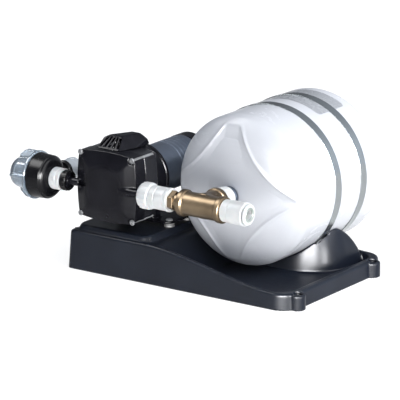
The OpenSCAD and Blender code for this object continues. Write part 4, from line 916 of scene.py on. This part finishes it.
def strainer_cap_field(x, y, z):
    """Hollow twist cap with two lobes, two ribs, a spur and a seal groove."""
    py, pz = y - LINE_Y, z - AXIS_Z
    line = np.hypot(py, pz)
    cone = 19.5 + 3 * np.clip((x + 252) / 34, 0, 1)
    solid = soft_max(line - cone, -252.5 - x, 12.0)
    solid = soft_max(solid, x + 217, 0.5)
    top = 32 - 7 * ease((-x - 232) / 12)
    lobes = soft_max(soft_max(np.abs(py) - 4.0, np.abs(pz) - top, 2.0), np.maximum(-243 - x, x + 217), 1.5)
    solid = soft_min(solid, lobes, 3.0)
    side_ribs = soft_max(np.abs(pz) - 2.2, np.abs(py) - 23.5, 1.5)
    side_ribs = soft_max(side_ribs, np.maximum(-246 - x, x + 217), 1.5)
    solid = soft_min(solid, side_ribs, 2.5)
    spur = soft_max(np.abs(pz) - 1.6, np.abs(py) - 6 + 0.5 * np.maximum(-x - 251, 0), 1.0)
    spur = soft_max(spur, -257.6 - x, 1.0)
    solid = soft_min(solid, np.maximum(spur, x + 240), 2.0)
    solid = soft_min(solid, soft_max(line - 32, np.abs(x + 217.3) - 1.5, 1.0), 1.2)
    solid = soft_min(solid, soft_max(line - 23, np.maximum(x + 209.8, -218 - x), 0.5), 0.4)
    inside = 17.2 + 2.6 * np.clip((x + 240.8) / 25, 0, 1)
    solid = soft_max(solid, -np.maximum(line - inside, -242.6 - x), 0.6)
    return np.maximum(solid, -np.maximum(20.9 - line, np.abs(x + 212.5) - 1.3))


piece("strainer_body", moulded(strainer_body_field, (-218, -147, 87), (-187, -74, 153), 0.85),
      "fitting_black")
piece("strainer_cap", moulded(strainer_cap_field, (-260, -148, 86), (-208, -80, 154), 0.85), "clear_plastic",
      body="strainer_lid")
hoop = turned([(14.4, -0.28), (15, -0.28), (15, 0.28), (14.4, 0.28)], "x", (0, 0), 0.2, 64)
wire = turned([(0, -41), (0.28, -41), (0.28, 0), (0, 0)], "x", (0, 14.7), 0.1, 6, False)
wires = [((-199, LINE_Y, AXIS_Z), (2 * math.pi * i / 44, 0, 0)) for i in range(44)]
hoops = [((-240.2 + 1.15 * i, LINE_Y, AXIS_Z), (0, 0, 0)) for i in range(36)]
closed_end = on_line([(0, -242.3), (15, -242.3), (15, -240.6), (0, -240.6)], 0.4, 64, False)
open_end = on_line([(14.4, -199.8), (16, -199.8), (16, -197.8), (14.4, -197.8)], 0.3, 64)
ends = mesh_of("screen_ends", joined(closed_end, open_end))
piece("strainer_screen", merged("strainer_screen", copies("screen_hoops", hoop, hoops, BRIGHT_STEEL),
                                copies("screen_wires", wire, wires, BRIGHT_STEEL), ends), "bright_steel",
      body="strainer_element")
piece("strainer_collar", on_line([(4.5, -195.5), (9.5, -195.5), (9.5, -189.5), (13.6, -189.5),
                                  (14.5, -188.3), (14.5, -180.2), (13.9, -179.6), (13.9, -178.6),
                                  (14.5, -178), (14.5, -173.8), (8.5, -173.8), (8.5, -169.7), (9.4, -169.7),
                                  (9.4, -166.7), (4.5, -166.7)], 0.5), "fitting_white")


def ribbed_nut(name, ring, rib, ribs, material, along, centre, place, radius):
    """A union nut: its turned ring and the ribs set round it."""
    ring_mesh = mesh_of(name, ring)
    rib_mesh = copies(name + "_ribs", rib, round_axis(ribs, radius, along, centre, place), material)
    return merged(name, ring_mesh, rib_mesh)


grip = slab(box_outline(-3.25, 3.25, -0.9, 0.9), -1.0, 0.7, 0.45, "z", 0.8)
ring = on_line([(8.8, -173.5), (12.2, -173.5), (13, -172.6), (13, -164.5), (9.8, -164.5), (9.8, -170),
                (8.8, -170)], 0.5)
piece("inlet_nut", ribbed_nut("inlet_nut", ring, grip, 16, FITTING_BLACK, "x", (LINE_Y, AXIS_Z), -168.8,
                              13.0), "fitting_black", body="inlet_union")
side_centre = (SIDE_X, AXIS_Z)
piece("inlet_ring", turned([(11.1, -83.7), (13.2, -83.7), (14, -82.8), (14, -78), (13.2, -77), (11.1, -77)],
                           "y", side_centre, 0.5), "fitting_black")
piece("inlet_connector", turned([(3.5, -77), (12.4, -77), (13, -76.2), (13, -63.4), (13.8, -62.6),
                                 (13.8, -57), (8.3, -57), (8.3, -66), (6.1, -66), (6.1, -75), (3.5, -75)],
                                "y", side_centre, 0.5), "fitting_grey")
piece("inlet_collet", turned([(6.15, -64.2), (8, -64.2), (8, -55.2), (11.5, -55.2), (11.5, -52.8),
                              (7.2, -52.8), (6.15, -53.8)], "y", side_centre, 0.5), "fitting_grey",
      body="inlet_release")


# OUTLET LINE

ring = on_line([(9.8, -50), (12.6, -50), (15.6, -48.2), (16.9, -45), (16.9, -34), (15.8, -32.5), (8.8, -32.5),
                (8.8, -36), (9.8, -36)], 0.8)
grip = slab(box_outline(-6.0, 6.0, -0.9, 0.9), -1.0, 0.6, 0.4, "z", 0.8)
piece("outlet_nut", ribbed_nut("outlet_nut", ring, grip, 20, FITTING_WHITE, "x", (LINE_Y, AXIS_Z), -40.5,
                               16.9), "fitting_white", body="outlet_union")
piece("outlet_adaptor", on_line([(4.5, -39.3), (9.4, -39.3), (9.4, -36.3), (8.5, -36.3), (8.5, -32.2),
                                 (14.2, -32.2), (15, -31.2), (15, -24), (14.3, -23.4), (14.3, -22.2),
                                 (15, -21.6), (15, -9), (14.2, -8.6), (14.2, -7.6), (15.6, -7.2),
                                 (15.6, -3.6), (14.8, -3), (8.6, -3), (8.6, -15), (4.5, -15)], 0.5),
      "fitting_white")
piece("hex_nipple", joined(slab(hexagon(13.5, (LINE_Y, AXIS_Z), math.pi / 6), -3, 4.75, 0.8, "x", 1.0),
                           on_line([(4.5, -14), (8.5, -14), (8.5, 3), (10.5, 4), (10.5, 12.5), (8.5, 12.5),
                                    (8.5, 23.5), (4.5, 23.5)], 0.4)), "brass")


def tee_field(x, y, z):
    """Cast tee with a bead at each end and its bores; its arm carries the tank's union tail."""
    line = np.hypot(y - LINE_Y, z - AXIS_Z)
    branch = np.hypot(x - TANK_X, z - AXIS_Z)
    along, out = np.abs(x - TANK_X), y - LINE_Y
    run = soft_max(line - 15.5, along - 33, 1.0)
    run = soft_min(run, soft_max(line - 17.5, np.maximum(along - 33, 25 - along), 2.0), 1.0)
    arm = np.maximum(soft_max(branch - 15.5, out - 33, 1.0), -out)
    arm = soft_min(arm, soft_max(branch - 17.5, np.maximum(out - 33, 25 - out), 2.0), 1.0)
    solid = soft_min(run, arm, 4.0)
    solid = np.minimum(solid, np.maximum(np.maximum(branch - 8.5, out - 38), -out))
    solid = np.minimum(solid, np.maximum(np.maximum(branch - 9.4, out - 40.1), 37.1 - out))
    solid = np.maximum(solid, 5.5 - line)
    solid = np.maximum(solid, -np.maximum(line - 8.6, 21 - along))
    return np.maximum(solid, -np.maximum(branch - 5.5, -out))


piece("brass_tee", moulded(tee_field, (10, -134, 100), (81, -72, 140), 0.8), "brass")
piece("outlet_connector", on_line([(3.5, 67.5), (8.5, 67.5), (8.5, 78.5), (13.6, 78.5), (14.4, 79.3),
                                   (14.4, 88.3), (13.7, 88.7), (13.7, 89.7), (15, 90.2), (15, 105.8),
                                   (15.5, 106.4), (15.5, 110.6), (14.8, 111.5), (8.3, 111.5), (8.3, 102.5),
                                   (6.1, 102.5), (6.1, 87.5), (3.5, 87.5)], 0.5), "fitting_white")
piece("outlet_collet", on_line([(6.15, 104.3), (8, 104.3), (8, 113.3), (13.5, 113.3), (13.5, 115),
                                (12.6, 115.7), (8, 115.7), (6.15, 114.4)], 0.5), "fitting_white",
      body="outlet_release")
piece("outlet_sleeve", on_line([(6.2, 114.2), (9.4, 114.2), (9.8, 116.1), (9.2, 116.6), (7.6, 116.6),
                                (6.2, 115.4)], 0.4), "fitting_grey", material=COLLET_GREY,
      body="outlet_release", stands_for=[])
ring = on_tank([(8.8, -80.7), (13.6, -80.7), (14.4, -79.8), (14.4, -62.8), (13.8, -62), (9.8, -62),
                (9.8, -77.2), (8.8, -77.2)], 0.6)
grip = slab(box_outline(-0.9, 0.9, -7, 7), -1.0, 0.55, 0.4, "z", 0.8)
piece("tank_nut", ribbed_nut("tank_nut", ring, grip, 16, FITTING_WHITE, "y", (TANK_X, AXIS_Z), -71.4, 14.4),
      "fitting_white", body="tank_union")


# TANK

def star_recess(x, z):
    """Depth of the four-pointed recess moulded into the front dome."""
    reach = 112.0
    across = np.sqrt(np.maximum(np.abs(x + 9) - 9, 0) ** 2 + 36)
    f = 1 - (across / reach) ** (2 / 3) - (np.sqrt(z * z + 36) / reach) ** (2 / 3)
    sunk = 0.012 * np.logaddexp(0, f / 0.012)
    r = np.hypot(x, z)
    rim = 1.3 * np.exp(-((f + 0.012) / 0.026) ** 2)
    relief = 6.0 * (1 - np.exp(-sunk / 0.17)) - rim
    return relief * (0.2 + 0.8 * ease((r - 12) / 60)) * (1 - ease((r - 87) / 11))


def tank_shape():
    """Hollow tank turned from its section, with the recess in its front dome."""
    a = np.radians(np.linspace(84.4, 0, 110))
    front = [(TANK_R * math.cos(t), TANK_Y0 - DOME * math.sin(t)) for t in a]
    rear = [(TANK_R * math.cos(t), TANK_Y1 + DOME * math.sin(t))
            for t in np.radians(np.linspace(0, 87.6, 40))]
    inner = [(97 * math.cos(t), TANK_Y1 + 35 * math.sin(t)) for t in np.radians(np.linspace(87.5, 0, 20))]
    inner += [(97 * math.cos(t), TANK_Y0 - 35 * math.sin(t)) for t in np.radians(np.linspace(0, 84.3, 20))]
    shape = on_tank(front + rear + inner, 0.3, 240)
    x, y, z = shape.points[:, 0] - TANK_X, shape.points[:, 1], shape.points[:, 2] - AXIS_Z
    r = np.hypot(x, z)
    skin = TANK_Y0 - DOME * np.sqrt(np.clip(1 - (r / TANK_R) ** 2, 0, 1))
    dome = (y < TANK_Y0) & (np.abs(y - skin) < 0.6) & (r < 98) & (r > 10)
    d = 0.2

    def face(px, pz):
        rr = np.hypot(px, pz)
        return TANK_Y0 - DOME * np.sqrt(np.clip(1 - (rr / TANK_R) ** 2, 1e-4, 1)) + star_recess(px, pz)

    gx = (face(x + d, z) - face(x - d, z)) / (2 * d)
    gz = (face(x, z + d) - face(x, z - d)) / (2 * d)
    normal = np.column_stack([gx, -np.ones_like(gx), gz])
    normal /= np.linalg.norm(normal, axis=1)[:, None]
    shape.points[dome, 1] += star_recess(x, z)[dome]
    shape.normals[dome] = normal[dome]
    return shape


piece("tank_shell", tank_shape(), "tank_white")
piece("tank_port", on_tank([(5.5, -73.9), (9.5, -73.9), (9.5, -59.5), (13, -59.5), (13, -54.6), (9.5, -54.6),
                            (9.5, -48.5), (5.5, -48.5)], 0.4), "motor_steel")
piece("air_valve", on_tank([(1.2, 175.5), (4, 175.5), (4, 183.6), (9, 183.6), (9, 185.2), (8.2, 185.9),
                            (4, 185.9), (4, 196.5), (2.6, 196.5), (2.6, 190.5), (1.2, 190.5)], 0.25, 48),
      "brass")
cap = mesh_of("air_valve_cap", on_tank([(0, 197.3), (4.3, 197.3), (4.3, 186.2), (6, 186.2), (6, 198.6),
                                        (5, 199.5), (0, 199.5)], 0.4, 48, False))
grip = slab(box_outline(-0.5, 0.5, -5.2, 5.2), -0.6, 0.45, 0.25, "z", 0.4)
cap_ribs = copies("valve_cap_ribs", grip, round_axis(12, 6.0, "y", (TANK_X, AXIS_Z), 192.6), FITTING_BLACK)
piece("air_valve_cap", merged("air_valve_cap", cap, cap_ribs), "fitting_black", body="valve_cap")


def film():
    """Label film bent round the tank, with rounded corners."""
    rows, cols = 40, 40
    half, y0, y1, corner = 29.0, 75.5, 135.5, 5.0
    pts, nrm, quads = [], [], []
    for layer, r in enumerate((TANK_R + 0.02, TANK_R + 0.17)):
        for v in np.linspace(-1, 1, rows):
            y = (y0 + y1) / 2 + v * (y1 - y0) / 2
            near = max(0.0, corner - min(y - y0, y1 - y))
            cut = corner - math.sqrt(max(corner ** 2 - near ** 2, 0))
            span = half - math.degrees(cut / TANK_R)
            for u in np.linspace(-1, 1, cols):
                a = math.radians(89.0 + u * span)
                out = np.array([math.cos(a), 0, math.sin(a)])
                pts.append(np.array([TANK_X, y, AXIS_Z]) + r * out)
                nrm.append(out * (1 if layer else -1))
    n = rows * cols
    for i in range(rows - 1):
        for j in range(cols - 1):
            a = i * cols + j
            quads += [[a, a + 1, a + cols + 1, a + cols], [n + a, n + a + cols, n + a + cols + 1, n + a + 1]]
    border = ([j for j in range(cols - 1)] + [i * cols + cols - 1 for i in range(rows - 1)]
              + [(rows - 1) * cols + j for j in range(cols - 1, 0, -1)]
              + [i * cols for i in range(rows - 1, 0, -1)])
    for a, b in zip(border, border[1:] + border[:1]):
        quads.append([a, n + a, n + b, b])
    return Shape(pts, nrm, quads, [])


piece("tank_label", film(), "label_film")


# STRAPS

def strap_band(y0, angle):
    """A steel band along its closed path, with its length on the U axis."""
    low = STRAP_DROP / (1 - math.sin(math.radians(angle)))
    r = TANK_R + STRAP_GAP
    r2 = r - low * math.sin(math.radians(angle))
    top = np.radians(np.linspace(-angle, 180 + angle, 140))
    under = np.radians(np.linspace(180 + angle, 360 - angle, 70))
    out = np.concatenate([np.column_stack([np.cos(a), np.sin(a)]) for a in (top, under)])
    path = np.concatenate([r * out[:140], r2 * out[140:] + [0, -low]])
    section, face = filleted(box_outline(0, STRAP_T, -STRAP_W / 2, STRAP_W / 2), 0.25, True, 3)
    m, n = len(path), len(section)
    pts = np.zeros((m, n, 3))
    nrm = np.zeros((m, n, 3))
    pts[..., 0] = TANK_X + path[:, None, 0] + out[:, None, 0] * section[None, :, 0]
    pts[..., 1] = y0 + section[None, :, 1]
    pts[..., 2] = AXIS_Z + path[:, None, 1] + out[:, None, 1] * section[None, :, 0]
    nrm[..., 0] = out[:, None, 0] * face[None, :, 0]
    nrm[..., 1] = face[None, :, 1]
    nrm[..., 2] = out[:, None, 1] * face[None, :, 0]
    run = np.concatenate([[0], np.cumsum(np.linalg.norm(np.diff(path, axis=0), axis=1))]) / 100
    over = np.concatenate([[0], np.cumsum(np.linalg.norm(np.diff(section, axis=0), axis=1))]) / 100
    quads, uv = [], []
    for i in range(m):
        for j in range(n):
            i1, j1 = (i + 1) % m, (j + 1) % n
            quads.append([i * n + j, i1 * n + j, i1 * n + j1, i * n + j1])
            u0, u1 = run[i], run[i + 1] if i + 1 < m else run[i] + 0.01
            v0, v1 = over[j], over[j + 1] if j + 1 < n else over[j] + 0.005
            uv.append([(u0, v0), (u1, v0), (u1, v1), (u0, v1)])
    return Shape(pts.reshape(-1, 3), nrm.reshape(-1, 3), quads, [], uv)


def buckle_field(x, y, z):
    """Buckle with a rounded back and a bore for its screw."""
    round_top = soft_max(soft_max(np.abs(y) - 7, x - 8, 3.0), soft_max(-x, np.abs(z) - 11, 0.6), 0.8)
    return soft_max(round_top, 3.5 - np.hypot(x - 4, y), 0.3)


screw_threads = [(3.2 - 0.55 * (i % 2), -14.6 + 0.9 * i) for i in range(29)]
worm = joined(turned([(0, -15)] + screw_threads + [(3.2, 11.2), (0, 11.2)], "z", (0, 0), 0.2, 32, False),
              slab(hexagon(3.8), 11.4, 16, 0.5, "z", 0.4),
              turned([(0, 11), (2.4, 11), (2.4, 11.6), (0, 11.6)], "z", (0, 0), 0.1, 24, False))
tilt = math.radians(-150)
buckle_axes = [(math.cos(tilt), 0, -math.sin(tilt)), (0, 1, 0), (math.sin(tilt), 0, math.cos(tilt))]
outward = np.array(buckle_axes[0])
buckle = moulded(buckle_field, (-1, -8, -12), (9, 8, 12), 0.55)
buckles = []
for side, (y0, angle) in STRAPS.items():
    piece("strap_" + side, strap_band(y0, angle), "strap_steel")
    seat = np.array([TANK_X, y0, AXIS_Z]) + outward * (TANK_R + STRAP_GAP + STRAP_T)
    buckles.append(placed(buckle, buckle_axes, seat))
    piece("strap_screw_" + side, placed(worm, buckle_axes, seat + outward * 4), "strap_steel",
          material=BRIGHT_STEEL, body=side + "_strap_screw")
piece("strap_buckles", joined(*buckles), "strap_steel")


# FINISHES OF THE SOLIDS, WHICH SHOW WHERE NO PIECE STANDS FOR THEM

for part in frame["record"]["subparts"]:
    node = frame["nodes"][part["node"]]
    for slot in node.material_slots:
        slot.material = SLOT_FINISH[part["material_slot"]]


# FLOOR, LIGHT AND CAMERA

floor_mesh = bpy.data.meshes.new("studio_floor")
floor_mesh.from_pydata([(-9, -9, 0), (9, -9, 0), (9, 9, 0), (-9, 9, 0)], [], [(0, 1, 2, 3)])
floor_mesh.materials.append(finish("studio_floor", (0.23, 0.23, 0.23), (0.25, 0.25, 0.25), (0.7, 0.8), tone=2,
                                   bump=0.02, Emission_Color=(1, 1, 1, 1), Emission_Strength=0.8))
studio_floor = bpy.data.objects.new("studio_floor", floor_mesh)
bpy.context.scene.collection.objects.link(studio_floor)

world = bpy.data.worlds.new("studio")
world.use_nodes = True
nodes, link = world.node_tree.nodes, world.node_tree.links.new
sky = nodes.new("ShaderNodeTexCoord")
parts = nodes.new("ShaderNodeSeparateXYZ")
link(sky.outputs["Generated"], parts.inputs["Vector"])
across = nodes.new("ShaderNodeMapRange")
rise = nodes.new("ShaderNodeMapRange")
for node, source, start, end, low, high in ((across, "X", -0.5, 0.5, 0.2, 1.25),
                                            (rise, "Z", 0.3, 0.85, 0.0, 1.0)):
    node.inputs["From Min"].default_value = start
    node.inputs["From Max"].default_value = end
    node.inputs["To Min"].default_value = low
    node.inputs["To Max"].default_value = high
    link(parts.outputs[source], node.inputs["Value"])
blend = nodes.new("ShaderNodeMix")
blend.inputs["B"].default_value = 0.5
link(rise.outputs["Result"], blend.inputs["Factor"])
link(across.outputs["Result"], blend.inputs["A"])
link(blend.outputs["Result"], nodes["Background"].inputs["Strength"])
nodes["Background"].inputs["Color"].default_value = (0.90, 0.96, 1.06, 1)
bpy.context.scene.world = world


def soft_box(name, at, aim, size, power):
    """A panel of light that shows only in reflections."""
    light = bpy.data.lights.new(name, "AREA")
    light.shape = "RECTANGLE"
    light.size, light.size_y = size
    light.energy = power
    obj = bpy.data.objects.new(name, light)
    obj.location = at
    obj.rotation_euler = (Vector(aim) - Vector(at)).to_track_quat("-Z", "Y").to_euler()
    obj.visible_diffuse = False
    bpy.context.scene.collection.objects.link(obj)


soft_box("glint_front", (1.0, -1.75, 0.5), (0.1, 0.0, 0.06), (1.6, 0.8), 640)
soft_box("glint_above", (-1.1, -0.55, 1.65), (0.0, 0.0, 0.06), (0.9, 0.9), 50)
soft_box("glint_right", (1.7, -0.6, 0.16), (-0.05, -0.1, 0.1), (0.4, 0.3), 60)
key = bpy.data.lights.new("key_right", "SUN")
key.energy = 3.7
key.angle = math.radians(50)
key_lamp = bpy.data.objects.new("key_right", key)
key_lamp.rotation_euler = Vector((-0.80, -0.10, -0.59)).to_track_quat("-Z", "Y").to_euler()
bpy.context.scene.collection.objects.link(key_lamp)

EYE_AT = (2.6321, -3.8549, 1.4123)
FOCAL_PIXELS, PICTURE_PIXELS, SENSOR = 3741.3, 400, 36
back_azimuth, back_height, roll = math.radians(34.716), math.radians(15.766), math.radians(0.17)
back = Vector((math.sin(back_azimuth) * math.cos(back_height),
               -math.cos(back_azimuth) * math.cos(back_height), math.sin(back_height)))
right = Vector((0, 0, 1)).cross(back).normalized()
up = back.cross(right)
right, up = math.cos(roll) * right + math.sin(roll) * up, math.cos(roll) * up - math.sin(roll) * right
camera = bpy.data.cameras.new("camera")
camera.sensor_width = SENSOR
camera.lens = FOCAL_PIXELS * SENSOR / PICTURE_PIXELS
camera.clip_end = 50
eye = bpy.data.objects.new("camera", camera)
eye.matrix_world = Matrix.Translation(EYE_AT) @ Matrix((right, up, back)).transposed().to_4x4()
bpy.context.scene.collection.objects.link(eye)
bpy.context.scene.camera = eye
bpy.context.scene.view_settings.view_transform = "Standard"
